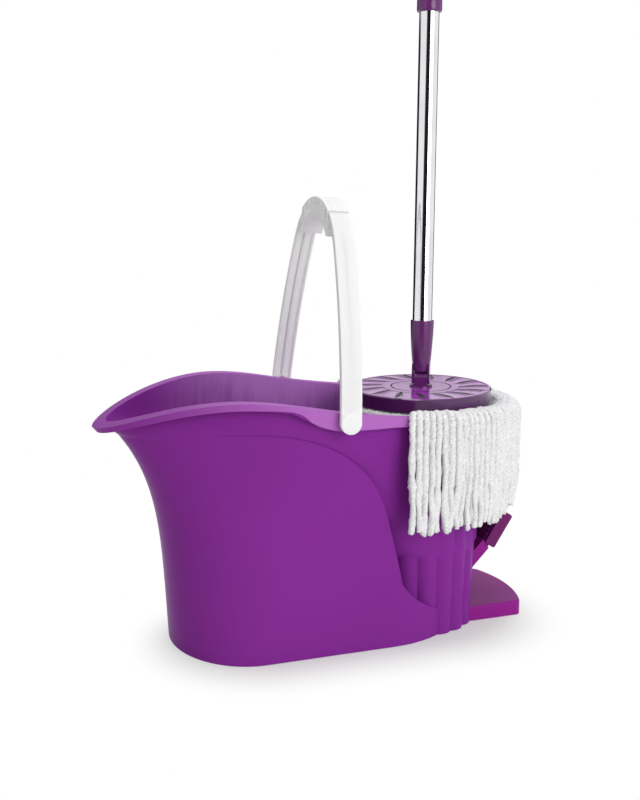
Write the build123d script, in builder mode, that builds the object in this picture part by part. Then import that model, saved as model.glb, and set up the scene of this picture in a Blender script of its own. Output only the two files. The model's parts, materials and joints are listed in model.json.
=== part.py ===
import os
from math import acos, atan2, cos, degrees, pi, radians, sin, sqrt, tan

from build123d import *

os.makedirs("parts", exist_ok=True)

# Driving dimensions in millimetres. +X runs from the spout to the pedal, +Y across, +Z up from the floor.

# Bucket
basket_x = 128.0
base_front = -168.5
base_half_width = 97.8
side_draft = 0.025
nose_lean = 0.05
spout_flare = 48.0
spout_power = 4.4
flare_height = 250.0
shoulder_x = -86.0
shoulder_shift = 0.19
back_shoulder_x = -22.0
tail_x = 223.0
tail_lean = 0.14
loft_levels = (0.0, 60.0, 120.0, 170.0, 210.0, 245.0)
rim_loft_levels = (215.0, 240.0, 265.0)
wall = 2.6
floor_wall = 3.0
panel_step = 2.0
panel_top = 247.0
panel_foot_x = 75.0
panel_tip_drop = 11.0
panel_swoosh = ((-183.0, 0.0), (-95.0, -17.0), (-42.0, -64.0), (-22.0, -120.0), (-9.0, -172.0))
cove_curve = ((-13.0, 80.0), (9.6, 50.0), (31.0, 36.0), (56.0, 25.5), (85.0, 18.0))
nose_reach = 120.0
half_slab = 200.0
oval_round = 0.5523
nose_sharpening = 0.416
front_sharpening = 0.178
back_fullness = 0.2
tail_fullness = 0.25

# Rim
rim_spout_z = 250.0
rim_peak_x = -104.0
rim_peak_z = 281.0
rim_bail_z = 266.5
rim_tail_z = 250.5
roll_width = 7.6
roll_wall = 2.5
rim_tip_reach = 70.0
rim_tip_drop = 25.0
rim_tail_reach = 40.0
rim_back_rise = 1.0
skirt_depth = 7.0
skirt_tail_depth = 10.5
spout_lip = 11.1
ear_curve = ((-64.0, 6.5), (-36.0, -8.0), (-14.0, -16.6), (42.0, -18.5))
ear_boss_radius = 9.0
headroom = 11.0

# Pedestal and plinth
pedestal_x = 114.0
stem_half_length = 76.0
stem_half_width = 84.0
stem_height = 92.0
stem_flat = 4.0
goblet_top = 235.0
goblet_swell = 1.3
goblet_levels = 5
goblet_crown = 27.0
lobe_count = 22
lobe_radius = 15.0
lobe_top_radius = 18.0
lobe_height = 124.0
plinth_height = 17.0
plinth_centre_x = 58.0
plinth_back = 108.0
well_radius = 55.0
well_wall = 3.0
well_roof = 97.0
slot_half_width = 51.5
slot_top = 95.0
standpipe_radius = 13.0
standpipe_top = 122.0

# Foot plate and chassis
plate_half_width = 58.7
plate_side_end = 233.0
plate_bulge = 12.5
plate_corner = 8.0
plate_edge = 2.0
plate_edge_run = 60.0
plate_wall = 3.0
plate_gap = 0.4
chassis_thickness = 4.0
cheek_thickness = 3.5
cheek_radius = 9.0
screw_circle = 49.5
screw_angles = (107.0, 180.0, 253.0)
screw_radius = 1.6
screw_head_radius = 3.4
screw_head_height = 1.8
screw_length = 14.0
boss_radius = 4.5
boss_top = 18.0

# Pedal
hinge_x = 22.0
hinge_z = 44.0
pedal_rise = 46.0
pedal_half_width = 46.0
pedal_side_gap = 0.5
pedal_depth = 13.0
pedal_hub_radius = 8.0
pedal_skin = 3.0
pedal_pin_radius = 3.0
tread_start = 63.0
tread_length = 43.0
tread_depth = 13.9
tread_tilt = 11.6
tread_overhang = 2.0
tread_drop = 4.2
tread_corner = 2.5
tread_ribs = 7
tread_rib_width = 2.4
tread_rib_margin = 5.0
tread_rib_height = 1.2
pedal_end = 4.0
pedal_end_slope = 3.0
spring_start = 9.0
spring_room = 24.0
spring_window = 30.0
spring_radius = 4.2
spring_wire = 0.8
spring_turns = 4
wire_sides = 8
spring_floor_reach = 34.0
spring_leg = 38.0
spring_lift = 0.48
spring_length = 14.0

# Pedal drive
sector_radius = 26.0
sector_module = 2.0
sector_teeth = 5
pressure_angle = 20.0
tooth_root = 1.25
tooth_tip = 0.8
gear_module = 1.0
small_teeth = 14
large_teeth = 40
gear_backlash = 0.3
coarse_teeth = 5
fine_teeth = 9
rack_depth = 10.0
rack_offset = 10.0
rack_bottom = 8.0
rack_left = 31.0
rack_right = 47.0
slide_gap = 0.3
step_axle_radius = 2.5
axle_head = 1.5
large_gear_bottom = 20.5
gear_width = 6.0
running_gap = 0.05

# Shaft, clutch and basket
shaft_radius = 5.0
shaft_foot_radius = 4.0
bush_radius = 9.0
bush_flange_radius = 11.5
bush_flange = 2.5
seal_height = 3.5
clutch_bottom = 125.0
clutch_height = 10.0
clutch_radius = 10.6
roller_circle = 9.0
roller_radius = 2.2
roller_count = 5
clutch_gap = 0.3
clutch_fit = 0.05
hub_radius = 15.5
hub_top = 146.0
hub_skirt_bottom = 108.0
hub_skirt_gap = 1.5
basket_bottom = 128.0
basket_top = 240.0
basket_foot_radius = 55.0
basket_mouth_radius = 82.0
basket_wall = 2.2
basket_lip = 2.5
basket_slots = 24
slot_rows = 2
slot_width = 5.0
slot_bridge = 14.0
drain_length = 26.0
cap_radius = 12.0
cap_height = 11.0

# Mop head
plate_radius = 80.0
plate_bottom = 252.7
plate_top = 267.8
plate_skin = 3.0
plate_chamfer = 1.2
petal_count = 15
petal_inner = 43.0
petal_margin = 3.0
petal_depth = 1.2
petal_width = 1.8
petal_bow = 7.0
petal_sweep = 9.0
hub_ring_radius = 34.0
spindle_radius = 8.0
spindle_boss_radius = 14.0
lug_flange_radius = 13.0
lug_flange = 2.0
lug_half_width = 7.5
lug_half_depth = 7.0
washer_radius = 13.0
washer_thickness = 2.0
swivel_screw_radius = 3.0
swivel_head_radius = 5.5
swivel_head = 3.5
swivel_screw_length = 13.0
ring_inner = 58.0
ring_outer = 75.5
ring_height = 9.5
yarn_start_x = -58.0
yarn_bottom = 120.0
yarn_rear_bottom = 150.0
yarn_thickness = 9.0
yarn_gap = 0.3
yarn_rim_gap = 0.8
yarn_crown = 6.0
curtain_bottom = 150.0
curtain_angle = 130.0

# Pole
pin_z = 277.0
pole_lean = 3.2
pole_azimuth = 60.0
pin_radius = 2.5
prong_thickness = 2.2
prong_gap = 0.3
prong_radius = 6.5
ferrule_profile = ((8.4, 8.3), (10.2, 17.0), (11.6, 31.0), (12.7, 50.0), (13.2, 66.0))
tube_radius = 11.0
tube_wall = 0.8
tube_foot = 46.0
collar_bottom = 402.0
collar_length = 48.0
collar_radius = 13.8
collar_overlap = 20.0
collar_grooves = 12
groove_radius = 1.6
upper_radius = 9.5
upper_foot = 60.0
upper_length = 580.0
plug_length = 12.0
plug_spigot = 20.0
grip_bottom = 520.0
grip_length = 155.0
grip_radius = 14.0
grip_eye_length = 24.0
grip_eye_width = 9.0
grip_rings = 6
ring_groove = 0.9
hang_radius = 5.0
slip_gap = 0.1

# Bail
bail_x = -2.5
bail_z = 258.0
bail_spread = 120.0
bail_crown_radius = 70.0
bail_splay = 9.0
bail_turn = 26.2
bail_lean = 4.0
strap_width = 22.0
strap_depth = 6.0
strap_web = 2.2
stud_radius = 5.0
stud_gap = 0.08
grip_sleeve = 1.5
grip_depth = 13.0
grip_span = 42.0
grip_ribs = 11
grip_rib_range = 56.0
grip_rib_width = 2.0

# Derived places
top_plane_z = rim_peak_z + headroom
front_end = base_front - nose_reach
back_end = tail_x + rim_tail_reach
hinge = Vector(basket_x + hinge_x, 0, hinge_z)
rack_pitch_z = hinge_z - sector_radius
small_radius = gear_module * small_teeth / 2
large_radius = gear_module * large_teeth / 2
gear_distance = small_radius + large_radius
step_y = small_radius - rack_offset
step_x = basket_x - sqrt(gear_distance**2 - step_y**2)
pole_direction = Vector(
    sin(radians(pole_lean)) * cos(radians(pole_azimuth)),
    sin(radians(pole_lean)) * sin(radians(pole_azimuth)),
    cos(radians(pole_lean)),
)
pin_direction = Vector(sin(radians(pole_azimuth)), -cos(radians(pole_azimuth)), 0)
pole_plane = Plane(origin=(basket_x, 0, pin_z), x_dir=pin_direction, z_dir=pole_direction)
basket_plane = Plane.XY.move(Location((basket_x, 0, 0)))
basket_profile = Plane.XZ.move(Location((basket_x, 0, 0)))
pedal_plane = Plane(
    origin=hinge,
    x_dir=(cos(radians(pedal_rise)), 0, sin(radians(pedal_rise))),
    z_dir=(0, -1, 0),
)
bail_plane = Plane(
    origin=(bail_x, 0, bail_z),
    x_dir=(0, 1, 0),
    z_dir=(cos(radians(bail_lean)), 0, -sin(radians(bail_lean))),
)


# How far the front has flared out at a height: nothing low down, growing fast towards the spout.
def flare(z):
    return (z / flare_height) ** spout_power


# How pointed the nose is at a height, from nothing at the floor to one above the rim.
def sharpness(z):
    return (z / top_plane_z) ** spout_power


# An oval in plan: a nose that sharpens as it flares, straight sides and a back that fills out.
def oval(z, nose, front, half, back, tail, sharp, full):
    front_handle = (oval_round - front_sharpening * sharp) * (front - nose)
    nose_handle = (oval_round - nose_sharpening * sharp) * half
    back_handle = (oval_round + back_fullness * full) * (tail - back)
    tail_handle = (oval_round + tail_fullness * full) * half
    with BuildSketch(Plane.XY.offset(z)) as section:
        with BuildLine():
            for side in (1, -1):
                y = side * half
                Bezier((nose, 0), (nose, side * nose_handle), (front - front_handle, y), (front, y))
                Line((front, y), (back, y))
                Bezier((back, y), (back + back_handle, y), (tail, side * tail_handle), (tail, 0))
        make_face()
    return section.sketch


def tub_nose(z):
    return base_front - nose_lean * z - spout_flare * flare(z)


def tub_half(z):
    return base_half_width + side_draft * z


def tub_tail(z):
    return tail_x - tail_lean * (flare_height - z)


# The tub's outline at a height, moved outwards by grow and forwards at the nose by lip.
def tub_section(z, grow, lip=0.0):
    nose = tub_nose(z) - grow - lip
    front = shoulder_x + shoulder_shift * z
    return oval(z, nose, front, tub_half(z) + grow, back_shoulder_x, tub_tail(z) + grow, sharpness(z), 1)


def tub_solid(levels, grow, lip=0.0):
    with BuildPart() as solid:
        for z in levels:
            add(tub_section(z, grow, lip))
        loft()
    return solid.part


# The pedestal's outline at a height: round where it leaves the stem, opening out into the tub's outline.
def goblet_section(z, grow):
    share = min(1.0, max(0.0, (z - stem_height) / (goblet_top - stem_height))) ** goblet_swell

    def mix(stem, rim):
        return stem + share * (rim - stem)

    return oval(
        z,
        mix(pedestal_x - stem_half_length, tub_nose(z) + panel_step) - grow,
        mix(pedestal_x - stem_flat, shoulder_x + shoulder_shift * z),
        mix(stem_half_width, tub_half(z) - panel_step) + grow,
        mix(pedestal_x + stem_flat, back_shoulder_x),
        mix(pedestal_x + stem_half_length, tub_tail(z) - panel_step) + grow,
        share * sharpness(z),
        share,
    )


def goblet_solid(grow):
    rise = goblet_top - stem_height
    levels = [stem_height + rise * step / goblet_levels for step in range(goblet_levels + 1)]
    levels += [goblet_top + goblet_crown, top_plane_z]
    with BuildPart() as solid:
        for z in levels:
            add(goblet_section(z, grow))
        loft()
    return solid.part


# Everything below the rim's top edge, lowered by drop, as a slab across the bucket.
def below_rim(drop):
    with BuildPart() as slab:
        with BuildSketch(Plane.XZ):
            with BuildLine():
                edge = Spline(
                    (front_end, rim_spout_z - rim_tip_drop - drop),
                    (base_front - rim_tip_reach, rim_spout_z - drop),
                    (rim_peak_x, rim_peak_z - drop),
                    (bail_x, rim_bail_z - drop),
                    (basket_x, rim_tail_z + rim_back_rise - drop),
                    (back_end, rim_tail_z - drop),
                )
                Polyline(edge @ 1, (back_end, -nose_reach), (front_end, -nose_reach), edge @ 0)
            make_face()
        extrude(amount=half_slab, both=True)
    return slab.part


# The front panel from the side: it ends in a long swoosh from the spout down to the pedestal.
def panel_slab(shrink):
    with BuildPart() as slab:
        with BuildSketch(Plane.XZ):
            with BuildLine():
                swoosh = Spline(
                    (front_end, panel_top - panel_tip_drop - shrink),
                    *[(panel_foot_x + x - shrink, panel_top + z - shrink) for x, z in panel_swoosh],
                    (panel_foot_x - shrink, -plinth_height),
                )
                Polyline(swoosh @ 1, (front_end, -plinth_height), swoosh @ 0)
            make_face()
        extrude(amount=half_slab, both=True)
    return slab.part


# Half the angle that a tooth spans at a radius, for an involute flank at a pressure angle of 20 degrees.
def tooth_half_angle(pitch_radius, module, radius):
    pressure = radians(pressure_angle)
    base = pitch_radius * cos(pressure)
    at = acos(min(1.0, base / radius)) if radius > base else 0.0
    thickness = pi * module / 2 - gear_backlash * module / 2
    return thickness / (2 * pitch_radius) + (tan(pressure) - pressure) - (tan(at) - at)


# Outline points of one tooth, from root to root, centred on an angle in degrees.
def tooth_points(pitch_radius, module, angle):
    root = pitch_radius - tooth_root * module
    tip = pitch_radius + tooth_tip * module
    radii = (root, pitch_radius - module / 2, pitch_radius, (pitch_radius + tip) / 2, tip)
    flank = [(r, tooth_half_angle(pitch_radius, module, r)) for r in radii]
    polar = [(r, radians(angle) - half) for r, half in flank]
    polar += [(r, radians(angle) + half) for r, half in reversed(flank)]
    return [(r * cos(a), r * sin(a)) for r, a in polar]


# A whole gear's outline, with one tooth centred on an angle.
def gear_points(teeth, module, angle):
    points = []
    for n in range(teeth):
        points += tooth_points(module * teeth / 2, module, angle + 360 * n / teeth)
    return points


# Outline points of a rack's teeth along a line, standing up from it, with a gap centred on start.
def rack_points(start, count, module):
    pitch = pi * module
    half = pitch / 4 - gear_backlash * module / 4
    slope = tan(radians(pressure_angle))
    root = tooth_root * module
    tip = tooth_tip * module
    points = []
    for n in range(count):
        centre = start + (n + 0.5) * pitch
        points += [
            (centre - half - root * slope, -root),
            (centre - half + tip * slope, tip),
            (centre + half - tip * slope, tip),
            (centre + half + root * slope, -root),
        ]
    return points


def save(piece, name):
    piece.part.label = name
    export_step(piece.part, f"parts/{name}.step")


from_below = (Align.CENTER, Align.CENTER, Align.MIN)
tub_levels = (*loft_levels, top_plane_z)
inner_levels = (floor_wall, *tub_levels[1:])
rim_levels = (*rim_loft_levels, top_plane_z)

# Front tub: the loft from the floor to the spout, ended by the swoosh.
with BuildPart() as front_tub:
    add(tub_solid(tub_levels, 0.0))
    add(panel_slab(0.0), mode=Mode.INTERSECT)

# Bowl: the goblet over the pedestal, ended by the rim line.
with BuildPart() as bowl:
    add(goblet_solid(0.0))
    add(below_rim(0.0), mode=Mode.INTERSECT)

# Rolled rim: a flat top with a skirt hanging from its outer edge, deeper at the ears that carry the bail.
with BuildPart() as rim_under:
    add(below_rim(skirt_depth))
    with BuildSketch(Plane.XZ):
        with BuildLine():
            ear = Spline(
                *[(bail_x + x, rim_bail_z + z) for x, z in ear_curve],
                (basket_x, rim_tail_z + rim_back_rise - skirt_tail_depth),
                (back_end, rim_tail_z - skirt_tail_depth),
            )
            Polyline(ear @ 1, (back_end, top_plane_z), ((ear @ 0).X, top_plane_z), ear @ 0)
        make_face()
    extrude(amount=half_slab, both=True, mode=Mode.SUBTRACT)

with BuildPart() as rim_channel:
    add(tub_solid(rim_levels, roll_width - roll_wall, spout_lip))
    add(below_rim(roll_wall), mode=Mode.INTERSECT)

with BuildPart() as rim:
    add(tub_solid(rim_levels, roll_width, spout_lip))
    add(below_rim(0.0), mode=Mode.INTERSECT)
    add(rim_under.part, mode=Mode.SUBTRACT)
    add(rim_channel.part, mode=Mode.SUBTRACT)

# Water space: the front tub and the bowl round the basket, less the tower of the dry well.
with BuildPart() as front_inside:
    add(tub_solid(inner_levels, -wall))
    add(panel_slab(wall), mode=Mode.INTERSECT)

with BuildPart() as water:
    add(goblet_solid(-wall))
    with Locations(basket_plane):
        Cylinder(2 * stem_half_width, well_roof + well_wall, align=from_below, mode=Mode.SUBTRACT)
    add(front_inside.part)
    with Locations(basket_plane):
        Cylinder(well_radius + well_wall, well_roof + well_wall, align=from_below, mode=Mode.SUBTRACT)
        Cylinder(standpipe_radius, standpipe_top, align=from_below, mode=Mode.SUBTRACT)



# Plinth round the pedestal's foot: its top edge runs on from the swoosh in a cove.
def plinth_solid(shrink):
    half = base_half_width - shrink
    top = cove_curve[0][1] - shrink
    to_front = (Align.MAX, Align.CENTER)
    with BuildPart() as solid:
        with BuildSketch():
            with Locations((plinth_centre_x, 0)):
                Ellipse(plinth_back - shrink, half)
                Rectangle(plinth_back, 2 * half, align=to_front, mode=Mode.SUBTRACT)
                Rectangle(plinth_back / 2, 2 * half, align=to_front)
        extrude(amount=top)
        with BuildSketch(Plane.XZ):
            with BuildLine():
                cove = Spline(
                    *[(panel_foot_x + x, z - shrink) for x, z in cove_curve],
                    (back_end, plinth_height - shrink),
                )
                Polyline(cove @ 1, (back_end, 0), (front_end, 0), (front_end, top), cove @ 0)
            make_face()
        extrude(amount=half_slab, both=True, mode=Mode.INTERSECT)
    return solid.part


ear_inside = tub_half(bail_z) - panel_step
boss_start = ear_inside - wall / 2
boss_end = bail_spread - strap_depth / 2 - slide_gap
lobe_length = stem_half_length - lobe_radius
lobe_breadth = stem_half_width - lobe_radius
lobe_turns = [2 * pi * n / lobe_count for n in range(lobe_count)]

# Hollow under the pedestal and plinth, between the front tub's wall and the tower of the dry well.
with BuildPart() as hollow_foot:
    add(plinth_solid(wall))
    with BuildSketch():
        with Locations((pedestal_x, 0)):
            Ellipse(lobe_length, lobe_breadth)
    extrude(amount=well_roof)
    with BuildSketch():
        with Locations((panel_foot_x + wall, 0)):
            Rectangle(half_slab, 2 * half_slab, align=(Align.MIN, Align.CENTER))
    extrude(amount=well_roof, mode=Mode.INTERSECT)
    with Locations(basket_plane):
        Cylinder(well_radius + well_wall, well_roof, align=from_below, mode=Mode.SUBTRACT)

with BuildPart() as bucket_shell:
    add(front_tub.part)
    add(bowl.part)
    # Fluted pedestal
    with BuildSketch():
        with Locations((pedestal_x, 0)):
            Ellipse(lobe_length, lobe_breadth)
    extrude(amount=lobe_height)
    with Locations([(pedestal_x + lobe_length * cos(t), lobe_breadth * sin(t)) for t in lobe_turns]):
        Cone(lobe_radius, lobe_top_radius, lobe_height, align=from_below)
    add(plinth_solid(0.0))
    add(rim.part)
    # Bosses between wall and skirt that the bail's studs turn in
    for side in (1, -1):
        with Locations(Plane(origin=(bail_x, side * boss_start, bail_z), z_dir=(0, side, 0))):
            Cylinder(ear_boss_radius, boss_end - boss_start, align=from_below)
    add(water.part, mode=Mode.SUBTRACT)
    for side in (1, -1):
        with Locations(Plane(origin=(bail_x, side * ear_inside, bail_z), z_dir=(0, side, 0))):
            Cylinder(stud_radius + stud_gap, strap_width, align=from_below, mode=Mode.SUBTRACT)
    add(hollow_foot.part, mode=Mode.SUBTRACT)
    # Dry well for the drive, open at the bottom and through the back wall for the pedal
    with Locations(basket_plane):
        Cylinder(well_radius, well_roof, align=from_below, mode=Mode.SUBTRACT)
        Cylinder(bush_radius, standpipe_top + 1, align=from_below, mode=Mode.SUBTRACT)
    with BuildSketch(basket_plane):
        Rectangle(plinth_back, 2 * slot_half_width, align=(Align.MIN, Align.CENTER))
    extrude(amount=slot_top, mode=Mode.SUBTRACT)
    with BuildSketch(basket_plane):
        Rectangle(plinth_back, 2 * (plate_half_width + plate_gap), align=(Align.MIN, Align.CENTER))
    extrude(amount=plinth_height + plate_gap, mode=Mode.SUBTRACT)
    # Screw bosses on the wall of the well
    with BuildSketch(basket_plane.offset(chassis_thickness + slide_gap)):
        for angle in screw_angles:
            with PolarLocations(screw_circle, 1, angle):
                Circle(boss_radius)
                Rectangle(well_radius - screw_circle + 1, boss_radius, align=(Align.MIN, Align.CENTER))
                Circle(screw_radius, mode=Mode.SUBTRACT)
    extrude(amount=boss_top - chassis_thickness - slide_gap)
save(bucket_shell, "bucket_shell")

# Foot plate: a hollow tongue behind the pedestal and, inside it, the chassis of the pedal drive.
bed_inset = (tooth_root + tooth_tip) * gear_module - gear_backlash
bed_height = rack_bottom - slide_gap - chassis_thickness
with BuildPart() as foot_plate:
    with BuildSketch() as tongue:
        with BuildLine():
            Line((basket_x, plate_half_width), (plate_side_end, plate_half_width))
            ThreePointArc(
                (plate_side_end, plate_half_width),
                (plate_side_end + plate_bulge, 0),
                (plate_side_end, -plate_half_width),
            )
            Polyline(
                (plate_side_end, -plate_half_width),
                (basket_x, -plate_half_width),
                (basket_x, plate_half_width),
            )
        make_face()
        fillet(tongue.vertices().group_by(Axis.X)[-1], plate_corner)
    extrude(amount=plinth_height)
    top_edges = foot_plate.faces().sort_by(Axis.Z)[-1].edges()
    fillet(top_edges.filter_by(lambda e: e.center().X > plate_side_end - plate_edge_run), plate_edge)
    with BuildSketch():
        offset(tongue.sketch, -plate_wall)
    extrude(amount=plinth_height - plate_wall, mode=Mode.SUBTRACT)
    # Stiffening ribs under the tongue
    with BuildSketch():
        with Locations(((basket_x + plate_side_end + well_radius) / 2, 0)):
            with GridLocations((plate_side_end - basket_x - well_radius) / 2, 0, 2, 1):
                Rectangle(plate_wall, 2 * plate_half_width - plate_wall)
    extrude(amount=plinth_height - plate_wall / 2)
    # The well's floor, with the tongue cut away above it
    with Locations(basket_plane.offset(chassis_thickness)):
        Cylinder(well_radius + well_wall + 1, plinth_height, align=from_below, mode=Mode.SUBTRACT)
    with Locations(basket_plane):
        Cylinder(well_radius - slide_gap, chassis_thickness, align=from_below)
    with BuildSketch(basket_plane):
        Rectangle(well_radius + 2 * well_wall, 2 * slot_half_width, align=(Align.MIN, Align.CENTER))
    extrude(amount=chassis_thickness)
    # Cheeks that hold the pedal's pin
    for side in (1, -1):
        cheek_y = side * (pedal_half_width + pedal_side_gap)
        with BuildSketch(Plane(origin=(hinge.X, cheek_y, 0), x_dir=(-side, 0, 0), z_dir=(0, side, 0))):
            with Locations((0, hinge_z)):
                Circle(cheek_radius)
            Rectangle(2 * cheek_radius, hinge_z, align=(Align.CENTER, Align.MIN))
            with Locations((0, hinge_z)):
                Circle(pedal_pin_radius, mode=Mode.SUBTRACT)
        extrude(amount=cheek_thickness)
    # Bed and fence that the rack slides in
    with BuildSketch(basket_plane.offset(chassis_thickness)):
        with Locations((-rack_left - sector_radius / 2, -rack_offset - bed_inset)):
            Rectangle(rack_left + rack_right, rack_depth - bed_inset, align=(Align.MIN, Align.MAX))
    extrude(amount=bed_height)
    with BuildSketch(basket_plane.offset(chassis_thickness)):
        with Locations((-rack_left, -rack_offset - rack_depth - slide_gap)):
            Rectangle(rack_left + rack_right, plate_wall, align=(Align.MIN, Align.MAX))
    extrude(amount=rack_bottom)
    # Step bearing of the shaft and boss of the step gear
    with Locations(basket_plane.offset(chassis_thickness)):
        Cylinder(shaft_foot_radius + plate_wall, bed_height, align=from_below)
    with Locations((step_x, step_y, chassis_thickness)):
        Cylinder(step_axle_radius + plate_wall, bed_height, align=from_below)
    with Locations(basket_plane.offset(chassis_thickness / 2)):
        Cylinder(shaft_foot_radius + running_gap, rack_bottom, align=from_below, mode=Mode.SUBTRACT)
    with Locations((step_x, step_y, chassis_thickness / 4)):
        Cylinder(step_axle_radius, rack_bottom, align=from_below, mode=Mode.SUBTRACT)
    # Counterbored screw holes
    for angle in screw_angles:
        with Locations(basket_plane):
            with PolarLocations(screw_circle, 1, angle):
                Cylinder(screw_radius + slide_gap, chassis_thickness, align=from_below, mode=Mode.SUBTRACT)
                Cylinder(
                    screw_head_radius + slide_gap,
                    screw_head_height + slide_gap,
                    align=from_below,
                    mode=Mode.SUBTRACT,
                )
save(foot_plate, "foot_plate")

with BuildPart() as chassis_screws:
    for angle in screw_angles:
        with Locations(basket_plane.offset(slide_gap)):
            with PolarLocations(screw_circle, 1, angle):
                Cylinder(screw_head_radius, screw_head_height, align=from_below)
                Cylinder(screw_radius, screw_length, align=from_below)
save(chassis_screws, "chassis_screws")

# Pedal: a channel with a hub on the pin and a toothed sector that drives the rack.
arm_bottom = -pedal_hub_radius
arm_top = pedal_depth - pedal_hub_radius
tread_plane = Plane(
    origin=pedal_plane.from_local_coords((tread_start, arm_bottom - tread_drop, 0)),
    x_dir=(cos(radians(pedal_rise + tread_tilt)), 0, sin(radians(pedal_rise + tread_tilt))),
    z_dir=(0, -1, 0),
)
tongue_depth = tread_depth - 2 * pedal_skin
sector_pitch = 180 * sector_module / sector_radius
tread_rib_pitch = (tread_length - 2 * tread_rib_margin) / (tread_ribs - 1)

with BuildPart() as pedal_arm:
    with BuildSketch(pedal_plane):
        Circle(pedal_hub_radius)
        with BuildLine():
            Polyline(
                (0, arm_bottom),
                (tread_start - pedal_end, arm_bottom),
                (tread_start - pedal_end + pedal_end_slope, arm_top),
                (0, arm_top),
                close=True,
            )
        make_face()
    extrude(amount=pedal_half_width, both=True)
    # Tongue that the tread is pushed on to
    with BuildSketch(tread_plane):
        with Locations((-pedal_depth, pedal_skin)):
            Rectangle(tread_length + pedal_depth - pedal_skin, tongue_depth, align=(Align.MIN, Align.MIN))
    extrude(amount=pedal_half_width - 2 * pedal_skin, both=True)
    # Open underside of the channel
    with BuildSketch(pedal_plane):
        with Locations((pedal_hub_radius + pedal_skin, arm_bottom)):
            Rectangle(
                tread_start - pedal_hub_radius - 5 * pedal_skin,
                pedal_depth - pedal_skin,
                align=(Align.MIN, Align.MIN),
            )
    extrude(amount=pedal_half_width - pedal_skin, both=True, mode=Mode.SUBTRACT)
    # Sector
    with BuildSketch(pedal_plane.offset(rack_offset)):
        teeth = []
        for n in range(sector_teeth):
            turn = sector_pitch * (n - 0.5) - 90 - pedal_rise
            teeth += tooth_points(sector_radius, sector_module, turn)
        with BuildLine():
            Polyline((0, 0), *teeth, close=True)
        make_face()
    extrude(amount=rack_depth)
    # Window for the return spring, and the pin's bore
    with BuildSketch(pedal_plane.offset(-spring_start)):
        Rectangle(2 * spring_window, 4 * pedal_hub_radius)
    extrude(amount=-spring_room, mode=Mode.SUBTRACT)
    with Locations(Plane(origin=hinge, z_dir=(0, 1, 0))):
        Cylinder(pedal_pin_radius + running_gap, 2 * pedal_half_width, mode=Mode.SUBTRACT)
save(pedal_arm, "pedal_arm")

with BuildPart() as pedal_tread:
    with BuildSketch(tread_plane) as pad:
        Rectangle(tread_length, tread_depth, align=(Align.MIN, Align.MIN))
        fillet(pad.vertices(), tread_corner)
    extrude(amount=pedal_half_width + tread_overhang, both=True)
    # Raised bars across the top
    with BuildSketch(tread_plane):
        with Locations((tread_length / 2, tread_depth)):
            with GridLocations(tread_rib_pitch, 0, tread_ribs, 1):
                Rectangle(tread_rib_width, 2 * tread_rib_height)
    extrude(amount=pedal_half_width - pedal_skin, both=True)
    add(pedal_arm.part, mode=Mode.SUBTRACT)
save(pedal_tread, "pedal_tread")

with BuildPart() as pedal_pin:
    with Locations(Plane(origin=hinge, z_dir=(0, 1, 0))):
        Cylinder(pedal_pin_radius, 2 * (pedal_half_width + pedal_side_gap + cheek_thickness))
save(pedal_pin, "pedal_pin")


# Angle at which a line from a point runs on to a circle round the origin, on one side of it or the other.
def tangent_angle(point, radius, side):
    reach = sqrt(point[0] ** 2 + point[1] ** 2)
    return degrees(atan2(point[1], point[0]) + side * acos(radius / reach))


# Return spring: a coil round the pin that the pedal winds, one leg on the chassis and one under the skin.
floor_point = (spring_floor_reach, chassis_thickness + spring_lift - hinge_z)
skin_point = (spring_window, arm_top - pedal_skin - spring_wire - running_gap)
floor_angle = tangent_angle(floor_point, spring_radius, -1)
skin_angle = tangent_angle(skin_point, spring_radius, 1) + pedal_rise
winding = spring_turns + ((floor_angle - skin_angle) % 360) / 360
floor_leg = sqrt(floor_point[0] ** 2 + floor_point[1] ** 2 - spring_radius**2)
spring_plane = Plane(
    origin=hinge + Vector(0, spring_start + 4 * spring_wire, 0),
    x_dir=(cos(radians(floor_angle)), 0, sin(radians(floor_angle))),
    z_dir=(0, 1, 0),
)

with BuildPart() as coil:
    with BuildLine() as coil_path:
        turns = Helix(spring_length / winding, spring_length, spring_radius)
        leg_end = turns @ 0 - (turns % 0) * floor_leg
        Line(leg_end, turns @ 0)
        Line(turns @ 1, turns @ 1 + (turns % 1) * spring_leg)
    with BuildSketch(Plane(origin=leg_end, z_dir=turns % 0)):
        RegularPolygon(spring_wire, wire_sides)
    sweep(path=coil_path.wire())

with BuildPart() as return_spring:
    with Locations(spring_plane):
        add(coil.part)
save(return_spring, "return_spring")

# Rack: coarse teeth on top for the pedal's sector, fine teeth on its side for the step gear.
coarse_pitch = pi * sector_module
fine_pitch = pi * gear_module
coarse = rack_points(hinge.X - 1.5 * coarse_pitch, coarse_teeth, sector_module)
fine = rack_points(step_x - fine_pitch, fine_teeth, gear_module)
rack_top = rack_pitch_z - tooth_root * sector_module

with BuildPart() as drive_rack:
    with BuildSketch(Plane.XY.offset(rack_bottom)):
        with BuildLine():
            Polyline(
                (basket_x - rack_left, -rack_offset - rack_depth),
                (basket_x - rack_left, fine[0][1] - rack_offset),
                *[(x, y - rack_offset) for x, y in fine],
                (fine[-1][0], -rack_offset),
                (basket_x + rack_right, -rack_offset),
                (basket_x + rack_right, -rack_offset - rack_depth),
                close=True,
            )
        make_face()
    extrude(amount=rack_top - rack_bottom)
    with BuildSketch(Plane(origin=(0, -rack_offset, rack_pitch_z), x_dir=(1, 0, 0), z_dir=(0, -1, 0))):
        with BuildLine():
            Polyline(
                (coarse[0][0], rack_bottom - rack_pitch_z),
                *coarse,
                (coarse[-1][0], rack_bottom - rack_pitch_z),
                close=True,
            )
        make_face()
    extrude(amount=rack_depth)
save(drive_rack, "drive_rack")

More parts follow.
